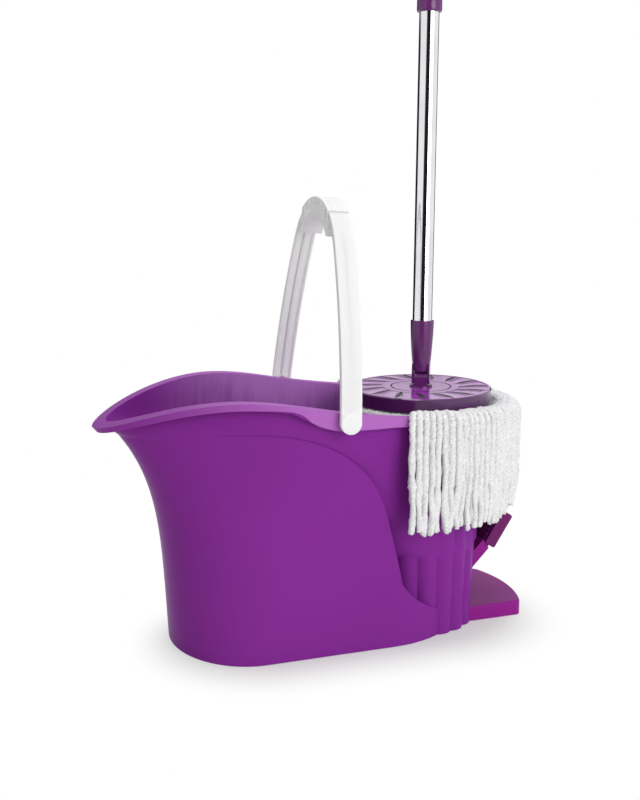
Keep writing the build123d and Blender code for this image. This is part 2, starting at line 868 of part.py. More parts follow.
# Step gear: a small gear on the rack and a large one that drives the shaft's pinion.
mesh_angle = degrees(atan2(-step_y, basket_x - step_x))
pinion_angle = mesh_angle + 180 + 180 / small_teeth
step_plane = Plane.XY.move(Location((step_x, step_y, 0)))
large_gear_top = large_gear_bottom + gear_width

with BuildPart() as step_gear:
    with BuildSketch(step_plane.offset(rack_bottom)):
        with BuildLine():
            Polyline(*gear_points(small_teeth, gear_module, -90), close=True)
        make_face()
    extrude(amount=large_gear_bottom - rack_bottom)
    with BuildSketch(step_plane.offset(large_gear_bottom)):
        with BuildLine():
            Polyline(*gear_points(large_teeth, gear_module, mesh_angle), close=True)
        make_face()
    extrude(amount=gear_width)
    with Locations(step_plane):
        Cylinder(step_axle_radius + running_gap, large_gear_top, align=from_below, mode=Mode.SUBTRACT)
save(step_gear, "step_gear")

with BuildPart() as step_axle:
    with Locations(step_plane.offset(chassis_thickness / 4)):
        Cylinder(step_axle_radius, large_gear_top + slide_gap - chassis_thickness / 4, align=from_below)
    with Locations(step_plane.offset(large_gear_top + slide_gap)):
        Cylinder(2 * step_axle_radius, axle_head, align=from_below)
save(step_axle, "step_axle")

with BuildPart() as drive_pinion:
    with BuildSketch(basket_plane.offset(large_gear_bottom - slide_gap)):
        with BuildLine():
            Polyline(*gear_points(small_teeth, gear_module, pinion_angle), close=True)
        make_face()
        Circle(shaft_radius, mode=Mode.SUBTRACT)
    extrude(amount=gear_width + 2 * slide_gap)
save(drive_pinion, "drive_pinion")

# Shaft: a thin foot in the chassis, the long body, and a thin end for the cap.
shaft_shoulder = hub_top + slide_gap
with BuildPart() as drive_shaft:
    with Locations(basket_plane.offset(chassis_thickness / 2 + running_gap)):
        Cylinder(shaft_foot_radius, rack_bottom, align=from_below)
    with Locations(basket_plane.offset(rack_bottom)):
        Cylinder(shaft_radius, shaft_shoulder - rack_bottom, align=from_below)
    with Locations(basket_plane.offset(shaft_shoulder)):
        Cylinder(shaft_foot_radius, cap_height - plate_wall, align=from_below)
save(drive_shaft, "drive_shaft")

bush_top = standpipe_top - seal_height - slide_gap
with BuildPart() as shaft_bush:
    with Locations(basket_plane.offset(well_roof - bush_flange)):
        Cylinder(bush_flange_radius, bush_flange, align=from_below)
    with Locations(basket_plane.offset(well_roof)):
        Cylinder(bush_radius, bush_top - well_roof, align=from_below)
    with Locations(basket_plane):
        Cylinder(shaft_radius + running_gap, standpipe_top, align=from_below, mode=Mode.SUBTRACT)
save(shaft_bush, "shaft_bush")

with BuildPart() as shaft_seal:
    with Locations(basket_plane.offset(bush_top)):
        Cylinder(bush_radius, seal_height, align=from_below)
        Cylinder(shaft_radius + running_gap, seal_height, align=from_below, mode=Mode.SUBTRACT)
save(shaft_seal, "shaft_seal")

# One-way clutch: a cage on the shaft with rollers that jam in the basket's hub.
with BuildPart() as clutch_cage:
    with BuildSketch(basket_plane.offset(clutch_bottom)):
        Circle(clutch_radius)
        Circle(shaft_radius, mode=Mode.SUBTRACT)
        with PolarLocations(roller_circle, roller_count):
            Circle(roller_radius + clutch_fit, mode=Mode.SUBTRACT)
    extrude(amount=clutch_height)
save(clutch_cage, "clutch_cage")

with BuildPart() as clutch_rollers:
    with Locations(basket_plane.offset(clutch_bottom)):
        with PolarLocations(roller_circle, roller_count):
            Cylinder(roller_radius, clutch_height, align=from_below)
save(clutch_rollers, "clutch_rollers")

# Basket: a slotted cone with its hub over the clutch and a skirt round the standpipe.
hub_bore = roller_circle + roller_radius + clutch_gap
hub_roof = clutch_bottom + clutch_height + slide_gap
basket_rise = basket_top - basket_bottom
cone_slope = (basket_mouth_radius - basket_foot_radius) / basket_rise
skirt_inner = standpipe_radius + hub_skirt_gap
lip_bottom = basket_top - basket_wall

with BuildPart() as spin_basket:
    with BuildSketch(basket_profile):
        with BuildLine():
            Polyline(
                (skirt_inner, hub_skirt_bottom),
                (skirt_inner + basket_wall, hub_skirt_bottom),
                (skirt_inner + basket_wall, basket_bottom),
                (basket_foot_radius, basket_bottom),
                (basket_mouth_radius - cone_slope * basket_wall, lip_bottom),
                (basket_mouth_radius + basket_lip, lip_bottom),
                (basket_mouth_radius + basket_lip, basket_top),
                (basket_mouth_radius - basket_wall, basket_top),
                (basket_foot_radius - basket_wall * (1 - cone_slope), basket_bottom + basket_wall),
                (hub_radius, basket_bottom + basket_wall),
                (hub_radius, hub_top),
                (shaft_radius + running_gap, hub_top),
                (shaft_radius + running_gap, hub_roof),
                (hub_bore, hub_roof),
                (hub_bore, basket_bottom),
                (skirt_inner, basket_bottom),
                close=True,
            )
        make_face()
    revolve(axis=Axis((basket_x, 0, 0), (0, 0, 1)))
    for row in range(slot_rows):
        slot_pitch = basket_rise / slot_rows
        slot_rise = slot_pitch * (row + 0.5)
        with Locations(basket_plane.offset(basket_bottom + slot_rise)):
            with PolarLocations(basket_foot_radius + cone_slope * slot_rise, basket_slots):
                Box(slot_pitch / 2, slot_width, slot_pitch - slot_bridge, mode=Mode.SUBTRACT)
    with Locations(basket_plane.offset(basket_bottom)):
        with PolarLocations((hub_radius + basket_foot_radius) / 2, basket_slots // 2):
            Box(drain_length, slot_width, 3 * basket_wall, mode=Mode.SUBTRACT)
save(spin_basket, "spin_basket")

with BuildPart() as basket_cap:
    with Locations(basket_plane.offset(shaft_shoulder)):
        Cylinder(cap_radius, cap_height, align=from_below)
    fillet(basket_cap.faces().sort_by(Axis.Z)[-1].edges(), cap_height / 2)
    with Locations(basket_plane.offset(shaft_shoulder)):
        Cylinder(shaft_foot_radius, cap_height - plate_wall, align=from_below, mode=Mode.SUBTRACT)
save(basket_cap, "basket_cap")

# Mop head: a shallow dish with petal grooves, a ring of sewn yarn in it and a boss for the swivel.
basket_axis = Axis((basket_x, 0, 0), (0, 0, 1))
skin_bottom = plate_top - plate_skin
petal_outer = plate_radius - petal_margin
petal_middle = (petal_inner + petal_outer) / 2

with BuildPart() as mop_plate:
    with BuildSketch(basket_profile):
        with BuildLine():
            Polyline(
                (spindle_radius + running_gap, plate_bottom),
                (spindle_boss_radius, plate_bottom),
                (spindle_boss_radius, skin_bottom),
                (plate_radius - plate_skin, skin_bottom),
                (plate_radius - plate_skin, plate_bottom),
                (plate_radius, plate_bottom),
                (plate_radius, plate_top - plate_chamfer),
                (plate_radius - plate_chamfer, plate_top),
                (spindle_radius + running_gap, plate_top),
                close=True,
            )
        make_face()
    revolve(axis=basket_axis)
    with BuildSketch(basket_plane.offset(plate_top)):
        Circle(hub_ring_radius + petal_width / 2)
        Circle(hub_ring_radius - petal_width / 2, mode=Mode.SUBTRACT)
        for n in range(petal_count):
            turn = 360 * n / petal_count
            with BuildLine(mode=Mode.PRIVATE):
                petal = ThreePointArc(
                    PolarLine((0, 0), petal_inner, turn, mode=Mode.PRIVATE) @ 1,
                    PolarLine((0, 0), petal_middle, turn + petal_bow, mode=Mode.PRIVATE) @ 1,
                    PolarLine((0, 0), petal_outer, turn + petal_sweep, mode=Mode.PRIVATE) @ 1,
                )
            SlotArc(petal, petal_width)
    extrude(amount=-petal_depth, mode=Mode.SUBTRACT)
save(mop_plate, "mop_plate")

with BuildPart() as yarn_ring:
    with BuildSketch(basket_plane.offset(skin_bottom)):
        Circle(ring_outer)
        Circle(ring_inner, mode=Mode.SUBTRACT)
    extrude(amount=-ring_height)
save(yarn_ring, "yarn_ring")

# Yarn: a pad on the basket's lip, a fold over the back rim, a skirt outside and a curtain in the basket.
yarn_foot = basket_top + yarn_gap
pad_top = plate_bottom - yarn_gap
skirt_grow = roll_width + yarn_rim_gap
fold_outer = basket_mouth_radius + yarn_crown
skirt_length = flare_height - yarn_bottom

with BuildPart() as rim_room:
    add(tub_section(flare_height, skirt_grow, spout_lip))
    extrude(amount=skirt_length + yarn_crown, both=True)
    add(below_rim(-yarn_rim_gap), mode=Mode.INTERSECT)

with BuildPart() as yarn_fold:
    add(tub_section(flare_height, skirt_grow + yarn_thickness, spout_lip))
    extrude(amount=skirt_length, both=True)
    add(rim_room.part, mode=Mode.SUBTRACT)
    with Locations(basket_plane):
        Cylinder(fold_outer - yarn_gap, 2 * flare_height, align=from_below, mode=Mode.SUBTRACT)
    with BuildSketch(basket_profile):
        with BuildLine():
            Polyline(
                (ring_outer, yarn_foot),
                (basket_mouth_radius + basket_lip, yarn_foot),
                (fold_outer, pad_top),
                (fold_outer, 2 * pad_top),
                (plate_radius + yarn_gap, 2 * pad_top),
                (plate_radius + yarn_gap, pad_top),
                (ring_outer, pad_top),
                close=True,
            )
        make_face()
    revolve(axis=basket_axis)
    add(below_rim(-yarn_rim_gap - yarn_crown), mode=Mode.INTERSECT)
    with BuildSketch(basket_plane):
        with Locations((yarn_start_x, 0)):
            Rectangle(half_slab, 2 * half_slab, align=(Align.MIN, Align.CENTER))
    extrude(amount=2 * flare_height, mode=Mode.INTERSECT)
    with BuildSketch(Plane.XZ):
        with BuildLine():
            Polyline(
                (basket_x + yarn_start_x, yarn_bottom),
                (back_end, yarn_rear_bottom),
                (back_end, 0),
                (basket_x + yarn_start_x, 0),
                close=True,
            )
        make_face()
    extrude(amount=half_slab, both=True, mode=Mode.SUBTRACT)

curtain_plane = Plane(origin=(basket_x, 0, 0), x_dir=(-1, 0, 0), z_dir=(0, 1, 0))
with BuildPart() as mop_yarn:
    add(yarn_fold.part)
    with BuildSketch(basket_profile):
        with BuildLine():
            Polyline(
                (ring_inner, yarn_foot),
                (plate_radius, yarn_foot),
                (plate_radius, pad_top),
                (ring_outer, pad_top),
                (ring_outer, skin_bottom - ring_height - yarn_gap),
                (ring_inner, skin_bottom - ring_height - yarn_gap),
                close=True,
            )
        make_face()
    revolve(axis=basket_axis)
    with BuildSketch(curtain_plane.rotated((0, 0, -curtain_angle / 2))):
        with BuildLine():
            Polyline(
                (ring_inner, pad_top),
                (ring_inner + yarn_thickness, pad_top),
                (basket_foot_radius, curtain_bottom),
                (basket_foot_radius - yarn_thickness, curtain_bottom),
                close=True,
            )
        make_face()
    revolve(axis=basket_axis, revolution_arc=curtain_angle)
save(mop_yarn, "mop_yarn")

# Knuckle: a lug that turns in the plate on its spindle and carries the pole's hinge pin.
spindle_bottom = plate_bottom - slip_gap
flange_bottom = plate_top + slip_gap
lean_direction = Vector(cos(radians(pole_azimuth)), sin(radians(pole_azimuth)), 0)
lug_side = Plane(origin=(basket_x, 0, pin_z), x_dir=lean_direction, z_dir=pin_direction)

with BuildPart() as knuckle_lug:
    with Locations(basket_plane.offset(spindle_bottom)):
        Cylinder(spindle_radius, flange_bottom - spindle_bottom, align=from_below)
    with Locations(basket_plane.offset(flange_bottom)):
        Cylinder(lug_flange_radius, lug_flange, align=from_below)
    with BuildSketch(lug_side):
        Circle(lug_half_depth)
        Rectangle(2 * lug_half_depth, pin_z - flange_bottom, align=(Align.CENTER, Align.MAX))
        Circle(pin_radius, mode=Mode.SUBTRACT)
    extrude(amount=lug_half_width, both=True)
    with Locations(basket_plane.offset(spindle_bottom)):
        Cylinder(swivel_screw_radius, swivel_screw_length, align=from_below, mode=Mode.SUBTRACT)
save(knuckle_lug, "knuckle_lug")

with BuildPart() as swivel_washer:
    with BuildSketch(basket_plane.offset(spindle_bottom)):
        Circle(washer_radius)
        Circle(swivel_screw_radius, mode=Mode.SUBTRACT)
    extrude(amount=-washer_thickness)
save(swivel_washer, "swivel_washer")

with BuildPart() as swivel_screw:
    with Locations(basket_plane.offset(spindle_bottom - washer_thickness - swivel_head)):
        Cylinder(swivel_head_radius, swivel_head, align=from_below)
        shank = swivel_head + washer_thickness + swivel_screw_length
        Cylinder(swivel_screw_radius, shank, align=from_below)
save(swivel_screw, "swivel_screw")

prong_inner = lug_half_width + prong_gap
prong_outer = prong_inner + prong_thickness
with BuildPart() as knuckle_pin:
    with Locations(lug_side):
        Cylinder(pin_radius, 2 * prong_outer)
save(knuckle_pin, "knuckle_pin")

# Pole: fork and ferrule, chrome tube, twist lock, inner tube with its plug, and the grip.
side_direction = pole_direction.cross(pin_direction)
fork_side = Plane(origin=(basket_x, 0, pin_z), x_dir=side_direction, z_dir=pin_direction)
pole_profile = Plane(origin=(basket_x, 0, pin_z), x_dir=pin_direction, z_dir=-side_direction)
pole_axis = Axis((basket_x, 0, pin_z), pole_direction)
fork_floor = ferrule_profile[0][1]
ferrule_top = ferrule_profile[-1][1]
tube_top = collar_bottom + collar_overlap
upper_top = upper_foot + upper_length

with BuildPart() as pole_fork:
    with BuildSketch(pole_profile):
        with BuildLine():
            Spline(*ferrule_profile)
            Polyline(ferrule_profile[-1], (0, ferrule_top), (0, fork_floor), ferrule_profile[0])
        make_face()
    revolve(axis=pole_axis)
    for side in (1, -1):
        with BuildSketch(fork_side.offset(side * prong_inner)):
            Circle(prong_radius)
            Rectangle(2 * prong_radius, 2 * fork_floor, align=(Align.CENTER, Align.MIN))
            Circle(pin_radius + running_gap, mode=Mode.SUBTRACT)
        extrude(amount=side * prong_thickness)
    with Locations(pole_plane.offset(tube_foot)):
        Cylinder(tube_radius, ferrule_top, align=from_below, mode=Mode.SUBTRACT)
save(pole_fork, "pole_fork")

with BuildPart() as lower_tube:
    with BuildSketch(pole_plane.offset(tube_foot)):
        Circle(tube_radius)
        Circle(tube_radius - tube_wall, mode=Mode.SUBTRACT)
    extrude(amount=tube_top - tube_foot)
save(lower_tube, "lower_tube")

with BuildPart() as lock_collar:
    with Locations(pole_plane.offset(collar_bottom)):
        Cylinder(collar_radius, collar_length, align=from_below)
    chamfer(lock_collar.edges(), groove_radius)
    with Locations(pole_plane.offset(collar_bottom + collar_overlap / 2)):
        with PolarLocations(collar_radius + groove_radius / 2, collar_grooves):
            Cylinder(groove_radius, collar_length - collar_overlap, align=from_below, mode=Mode.SUBTRACT)
    with Locations(pole_plane.offset(collar_bottom)):
        Cylinder(tube_radius + running_gap, collar_overlap, align=from_below, mode=Mode.SUBTRACT)
        Cylinder(upper_radius + slip_gap, collar_length, align=from_below, mode=Mode.SUBTRACT)
save(lock_collar, "lock_collar")

with BuildPart() as upper_tube:
    with BuildSketch(pole_plane.offset(upper_foot)):
        Circle(upper_radius)
        Circle(upper_radius - tube_wall, mode=Mode.SUBTRACT)
    extrude(amount=upper_length)
save(upper_tube, "upper_tube")

with BuildPart() as tube_plug:
    with Locations(pole_plane.offset(upper_foot)):
        Cylinder(upper_radius - tube_wall, plug_spigot, align=from_below)
    with Locations(pole_plane.offset(upper_foot - plug_length)):
        Cylinder(tube_radius - tube_wall - slip_gap, plug_length, align=from_below)
save(tube_plug, "tube_plug")

grip_end = grip_bottom + grip_length
with BuildPart() as hand_grip:
    with Locations(pole_plane.offset(grip_bottom)):
        Cylinder(grip_radius, grip_length, align=from_below)
    chamfer(hand_grip.edges(), groove_radius)
    with BuildSketch(pole_profile):
        with Locations((grip_radius, (grip_bottom + upper_top) / 2)):
            with GridLocations(0, (upper_top - grip_bottom) / (grip_rings + 1), 1, grip_rings):
                Rectangle(2 * ring_groove, 3 * ring_groove)
    revolve(axis=pole_axis, mode=Mode.SUBTRACT)
    # Flat eye with the hole that it hangs by
    with BuildSketch(pole_plane.offset(grip_end - grip_eye_length)):
        with Locations((grip_eye_width / 2, 0)):
            Rectangle(grip_radius, 3 * grip_radius, align=(Align.MIN, Align.CENTER))
        mirror(about=Plane.YZ)
    extrude(amount=grip_eye_length, mode=Mode.SUBTRACT)
    with BuildSketch(fork_side):
        with Locations((0, grip_end - grip_eye_length / 2)):
            Circle(hang_radius)
    extrude(amount=grip_radius, both=True, mode=Mode.SUBTRACT)
    with Locations(pole_plane.offset(grip_bottom)):
        Cylinder(upper_radius, upper_top - grip_bottom, align=from_below, mode=Mode.SUBTRACT)
save(hand_grip, "hand_grip")

# Bail: a channelled strap bent into a pointed arch, with a disc and a stud on each foot.
side_turn = bail_turn - bail_splay
side_radius = (bail_spread - bail_crown_radius * cos(radians(bail_turn))) / (
    cos(radians(bail_splay)) - cos(radians(bail_turn))
)
crown_y = side_radius * (sin(radians(bail_turn)) - sin(radians(bail_splay)))
crown_y -= bail_crown_radius * sin(radians(bail_turn))


# The strap's arch between two offsets from its middle line, as wide as asked to each side.
def arch_band(inner, outer, half_width):
    rise = radians(bail_splay)
    with BuildPart() as band:
        with BuildSketch(bail_plane):
            with BuildLine():
                feet = []
                for off in (inner, outer):
                    foot = (-bail_spread - off * cos(rise), off * sin(rise))
                    left = JernArc(foot, (sin(rise), cos(rise)), side_radius + off, -side_turn)
                    top = JernArc(left @ 1, left % 1, bail_crown_radius + off, 2 * bail_turn - 180)
                    right = JernArc(top @ 1, top % 1, side_radius + off, -side_turn)
                    feet.append((left @ 0, right @ 1))
                Line(feet[0][0], feet[1][0])
                Line(feet[0][1], feet[1][1])
            make_face()
        extrude(amount=half_width, both=True)
    return band.part


half_strap = strap_depth / 2
stud_end = tub_half(bail_z) - panel_step + stud_gap + running_gap
with BuildPart() as bail_handle:
    add(arch_band(-half_strap, half_strap, strap_width / 2))
    add(arch_band(-half_strap, half_strap - strap_web, strap_width / 2 - strap_web), mode=Mode.SUBTRACT)
    for side in (1, -1):
        foot_y = side * (bail_spread - half_strap)
        with Locations(Plane(origin=(bail_x, foot_y, bail_z), z_dir=(0, side, 0))):
            Cylinder(strap_width / 2, strap_depth, align=from_below)
        with Locations(Plane(origin=(bail_x, side * bail_spread, bail_z), z_dir=(0, -side, 0))):
            Cylinder(stud_radius, bail_spread - stud_end, align=from_below)
save(bail_handle, "bail_handle")

rib_radius = bail_crown_radius + (half_strap - grip_depth) / 2
rib_start = 90 - grip_rib_range / 2
with BuildPart() as bail_grip:
    add(arch_band(-half_strap - grip_depth, half_strap + grip_sleeve, strap_width / 2 + grip_sleeve))
    with BuildSketch(bail_plane):
        with Locations((0, crown_y)):
            Rectangle(2 * grip_span, 4 * bail_crown_radius)
    extrude(amount=strap_width, both=True, mode=Mode.INTERSECT)
    with BuildSketch(bail_plane):
        with Locations((0, crown_y)):
            with PolarLocations(rib_radius, grip_ribs, rib_start, grip_rib_range, endpoint=True):
                Rectangle(grip_depth, grip_rib_width)
    extrude(amount=strap_width / 2 + grip_sleeve + grip_rib_width / 2, both=True)
    add(bail_handle.part, mode=Mode.SUBTRACT)
save(bail_grip, "bail_grip")
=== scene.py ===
import json
from math import radians
import bpy
import numpy as np
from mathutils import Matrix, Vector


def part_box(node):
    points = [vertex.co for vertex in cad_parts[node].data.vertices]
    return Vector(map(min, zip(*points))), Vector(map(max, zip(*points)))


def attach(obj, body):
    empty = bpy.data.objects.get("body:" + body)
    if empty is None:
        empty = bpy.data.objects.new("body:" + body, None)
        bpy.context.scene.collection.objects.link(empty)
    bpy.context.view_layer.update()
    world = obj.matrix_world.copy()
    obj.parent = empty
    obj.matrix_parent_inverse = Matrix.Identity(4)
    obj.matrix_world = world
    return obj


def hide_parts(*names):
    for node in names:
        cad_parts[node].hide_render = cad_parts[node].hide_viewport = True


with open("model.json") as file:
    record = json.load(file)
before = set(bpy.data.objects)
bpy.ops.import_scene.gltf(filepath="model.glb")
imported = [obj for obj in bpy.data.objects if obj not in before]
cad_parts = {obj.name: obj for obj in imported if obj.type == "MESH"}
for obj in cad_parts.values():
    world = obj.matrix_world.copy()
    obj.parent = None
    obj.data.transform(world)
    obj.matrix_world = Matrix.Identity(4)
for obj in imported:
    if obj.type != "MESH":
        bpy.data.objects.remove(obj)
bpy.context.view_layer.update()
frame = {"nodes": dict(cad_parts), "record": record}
dice = np.random.default_rng(7)


# The photograph was taken from in front of the bucket's side, a little to the spout's left and above it.
view = {"place": (-0.3983, -1.1671, 0.5055), "pitch": 78.729, "heading": -19.11, "lens": 51.04, "film": 36.0}
cameraData = bpy.data.cameras.new("photoCamera")
cameraData.lens = view["lens"]
cameraData.sensor_width = view["film"]
camera = bpy.data.objects.new("photoCamera", cameraData)
camera.location = view["place"]
camera.rotation_euler = (radians(view["pitch"]), 0.0, radians(view["heading"]))
bpy.context.scene.collection.objects.link(camera)
bpy.context.scene.camera = camera
bpy.context.scene.view_settings.view_transform = "Standard"
print("camera stands")


def colour(code):
    # sRGB hex to linear light
    parts = np.array([int(code[i:i + 2], 16) for i in (1, 3, 5)]) / 255.0
    linear = np.where(parts <= 0.04045, parts / 12.92, ((parts + 0.055) / 1.055) ** 2.4)
    return (*linear.tolist(), 1.0)


def addNode(tree, kind, settings={}, links={}):
    # a node with its settings and with what feeds its inputs; a node that feeds one gives its first output
    node = tree.nodes.new("ShaderNode" + kind)
    for name, value in settings.items():
        if isinstance(name, int) or name in node.inputs:
            node.inputs[name].default_value = value
        else:
            setattr(node, name, value)
    for name, source in links.items():
        tree.links.new(getattr(source, "outputs", [source])[0], node.inputs[name])
    return node


def newMaterial(name):
    material = bpy.data.materials.new(name)
    material.use_nodes = True
    material.node_tree.nodes.clear()
    return material, material.node_tree


# Settings that many nodes share: a range with soft ends, a mix of colours.
soft = {"interpolation_type": "SMOOTHSTEP"}
mix = {"data_type": "RGBA"}
purple, grey = (1.0, 0.35, 1.0), (1.0, 1.0, 1.0)  # how far red, green and blue soak into a plastic

# Polypropylene. Sizes of veil, haze and peel are millimetres across one lump; soak is in metres. A span is
# the part of a pattern that is spread out; haze takes the roughness down by clearer and up by hazier.
moulding = {"veil": 110.0, "veilSpan": {"From Min": 0.2, "From Max": 0.8}, "haze": 60.0,
            "hazeSpan": {"From Min": 0.15, "From Max": 0.85}, "clearer": 0.03, "hazier": 0.04, "peel": 3.5,
            "peelDepth": 0.0004, "peelShare": 0.04, "index": 1.49}
# The tub's two paler purples, for the light through its walls and for its rim, are painted light.
purpleTub = {"body": "#842E94", "deep": "#812C90", "through": "#BC7CCB", "rim": "#B06ABC", "rough": 0.32,
             "glow": 0.12, "tint": purple, "soak": 0.004, "shine": 0.03}
magentaPlate = {"body": "#93228D", "deep": "#8D2087", "rough": 0.34, "glow": 0.08, "tint": purple,
                "soak": 0.004, "shine": 0.08}
magentaTread = {"body": "#702466", "deep": "#6A2161", "rough": 0.38, "glow": 0.0, "tint": purple,
                "soak": 0.004, "shine": 0.10}
darkCollar = {"body": "#66276A", "deep": "#602565", "rough": 0.16, "glow": 0.0, "tint": purple,
              "soak": 0.004, "shine": 0.42}
whiteBail = {"body": "#EFEFF0", "deep": "#EDEDEE", "rough": 0.36, "glow": 0.9, "tint": grey,
             "soak": 0.007, "shine": 0.20}
# The grip is the bail's white plastic drawn a little paler, as painted light against the shade that lies on
# it.
gripPaintedPaler = {"body": "#F8F7F9", "deep": "#F6F5F7", "rough": 0.42, "glow": 0.6, "tint": grey,
            "soak": 0.006, "shine": 0.20}
whiteRib = {**whiteBail, "body": "#EDEDEE", "deep": "#EBEBEC", "glow": 0.0}
# The line of the rim's skirt, as a height over the bucket's length, and the box that it is drawn in.
skirtLine = {"points": ((-0.245, 0.2415), (-0.2385, 0.243), (-0.171, 0.2655), (-0.104, 0.274),
                        (-0.0665, 0.273), (-0.0385, 0.2585), (-0.0165, 0.2499), (0.0395, 0.248),
                        (0.128, 0.241), (0.263, 0.240)),
             "left": -0.25, "right": 0.27, "low": 0.23, "high": 0.28}
# Where walls are painted paler, as painted light: inward and outside go by how far a wall faces away from the
# middle, the two fades by metres along the bucket, band and rimEdge by metres over the skirt's line. Squeeze
# makes up for the bucket's length; the painted streaks are millimetres across, drawn out upwards by tall; run
# is how far the painted streaks reach.
wallLightPaint = {"squeeze": 0.45, "paintedStreak": 7.0, "tall": 0.12,
            "run": {"From Min": 0.3, "From Max": 0.7, "To Min": -0.010, "To Max": 0.010},
            "band": {"From Min": -0.050, "From Max": 0.010, "To Min": 0.35, "To Max": 0.95},
            "inward": {"From Min": -0.5, "From Max": 0.0, "To Min": 1.0, "To Max": 0.0},
            "innerFade": {"From Min": -0.19, "From Max": -0.06},
            "outside": {"From Min": -0.3, "From Max": -0.1},
            "rimFade": {"From Min": -0.22, "From Max": -0.02, "To Min": 0.1},
            "rimEdge": {"From Min": -0.0012, "From Max": 0.0002}}


def paintWallLight(tree, place, shade, look):
    # Painted light: where a wall faces the middle of the vessel it is painted paler, standing in for the
    # light that comes through from outside and for reflections on it: a band under the rim with painted
    # streaks running down from it. The rolled rim is painted paler too, above the line of its skirt, for the
    # light through its thin hollow wall and the sheen on it.
    left, right, low, high = (skirtLine[edge] for edge in ("left", "right", "low", "high"))
    facing = addNode(tree, "NewGeometry").outputs["Normal"]
    outward = addNode(tree, "Mapping", {"Scale": (wallLightPaint["squeeze"], 1.0, 0.0)}, {"Vector": place})
    outward = addNode(tree, "VectorMath", {"operation": "NORMALIZE"}, {0: outward})
    away = addNode(tree, "VectorMath", {"operation": "DOT_PRODUCT"}, {0: facing, 1: outward})
    away = away.outputs["Value"]
    axes = addNode(tree, "SeparateXYZ", {}, {0: place})
    along, height = axes.outputs["X"], axes.outputs["Z"]

    share = addNode(tree, "MapRange", {"From Min": left, "From Max": right}, {"Value": along})
    line = addNode(tree, "FloatCurve", {}, {"Value": share})
    curve = line.mapping.curves[0]
    for where, tall in skirtLine["points"]:
        curve.points.new((where - left) / (right - left), (tall - low) / (high - low))
    curve.points.remove(curve.points[0])  # the two that every new curve has at its ends
    curve.points.remove(curve.points[-1])
    line.mapping.update()
    skirt = addNode(tree, "MapRange", {"To Min": low, "To Max": high}, {"Value": line})
    over = addNode(tree, "Math", {"operation": "SUBTRACT"}, {0: height, 1: skirt})

    # painted streaks of reflection and through-light, running down from the band under the rim
    drawn = addNode(tree, "Mapping", {"Scale": (1.0, 1.0, wallLightPaint["tall"])}, {"Vector": place})
    paintedStreak = addNode(tree, "TexNoise", {"Scale": 1000.0 / wallLightPaint["paintedStreak"], "Detail": 3.0},
                     {"Vector": drawn})
    paintedStreak = addNode(tree, "MapRange", {**soft, **wallLightPaint["run"]}, {"Value": paintedStreak})
    under = addNode(tree, "Math", {"operation": "ADD"}, {0: over, 1: paintedStreak})
    band = addNode(tree, "MapRange", {**soft, **wallLightPaint["band"]}, {"Value": under})
    inward = addNode(tree, "MapRange", {**soft, **wallLightPaint["inward"]}, {"Value": away})
    fade = addNode(tree, "MapRange", {**soft, **wallLightPaint["innerFade"]}, {"Value": along})
    paintedInnerLight = addNode(tree, "Math", {"operation": "MULTIPLY"}, {0: inward, 1: fade})
    paintedInnerLight = addNode(tree, "Math", {"operation": "MULTIPLY"}, {0: paintedInnerLight, 1: band})
    shade = addNode(tree, "Mix", {**mix, 7: colour(look["through"])}, {0: paintedInnerLight, 6: shade}).outputs[2]

    # painted light on the rolled rim: its top and outside are painted a paler purple
    outside = addNode(tree, "MapRange", {**soft, **wallLightPaint["outside"]}, {"Value": away})
    fade = addNode(tree, "MapRange", {**soft, **wallLightPaint["rimFade"]}, {"Value": along})
    above = addNode(tree, "MapRange", {**soft, **wallLightPaint["rimEdge"]}, {"Value": over})
    paintedRimLight = addNode(tree, "Math", {"operation": "MULTIPLY"}, {0: outside, 1: fade})
    paintedRimLight = addNode(tree, "Math", {"operation": "MULTIPLY"}, {0: above, 1: paintedRimLight})
    return addNode(tree, "Mix", {**mix, 7: colour(look["rim"])}, {0: paintedRimLight, 6: shade}).outputs[2]


def mouldedPlastic(name, look):
    # Injection-moulded polypropylene: even colour with a faint cloud in it, a gloss with shallow orange peel
    # and hazy patches, and light let into thin walls, with painted light on the inner walls and rim where a
    # look has a colour for it. The peel is drawn coarser than the real one, to show.
    material, tree = newMaterial(name)
    place = addNode(tree, "TexCoord").outputs["Object"]
    veil = addNode(tree, "TexNoise", {"Scale": 1000.0 / moulding["veil"], "Detail": 0.0}, {"Vector": place})
    veil = addNode(tree, "MapRange", {**soft, **moulding["veilSpan"]}, {"Value": veil})
    shade = addNode(tree, "Mix", {**mix, 6: colour(look["body"]), 7: colour(look["deep"])}, {0: veil})
    shade = shade.outputs[2]
    # painted light on the inner walls and the rim, for a look that has a colour for it
    if "through" in look:
        shade = paintWallLight(tree, place, shade, look)
    haze = addNode(tree, "TexNoise", {"Scale": 1000.0 / moulding["haze"], "Detail": 1.0}, {"Vector": place})
    haze = addNode(tree, "MapRange",
                   {**soft, **moulding["hazeSpan"], "To Min": look["rough"] - moulding["clearer"],
                    "To Max": look["rough"] + moulding["hazier"]}, {"Value": haze})
    peel = addNode(tree, "TexNoise", {"Scale": 1000.0 / moulding["peel"], "Detail": 1.0}, {"Vector": place})
    peel = addNode(tree, "Bump", {"Strength": moulding["peelShare"], "Distance": moulding["peelDepth"]},
                   {"Height": peel})
    shader = addNode(tree, "BsdfPrincipled",
                     {"IOR": moulding["index"], "Specular IOR Level": look["shine"],
                      "Subsurface Weight": look["glow"], "Subsurface Scale": look["soak"],
                      "Subsurface Radius": look["tint"]},
                     {"Base Color": shade, "Roughness": haze, "Normal": peel})
    addNode(tree, "OutputMaterial", {}, {"Surface": shader})
    return material


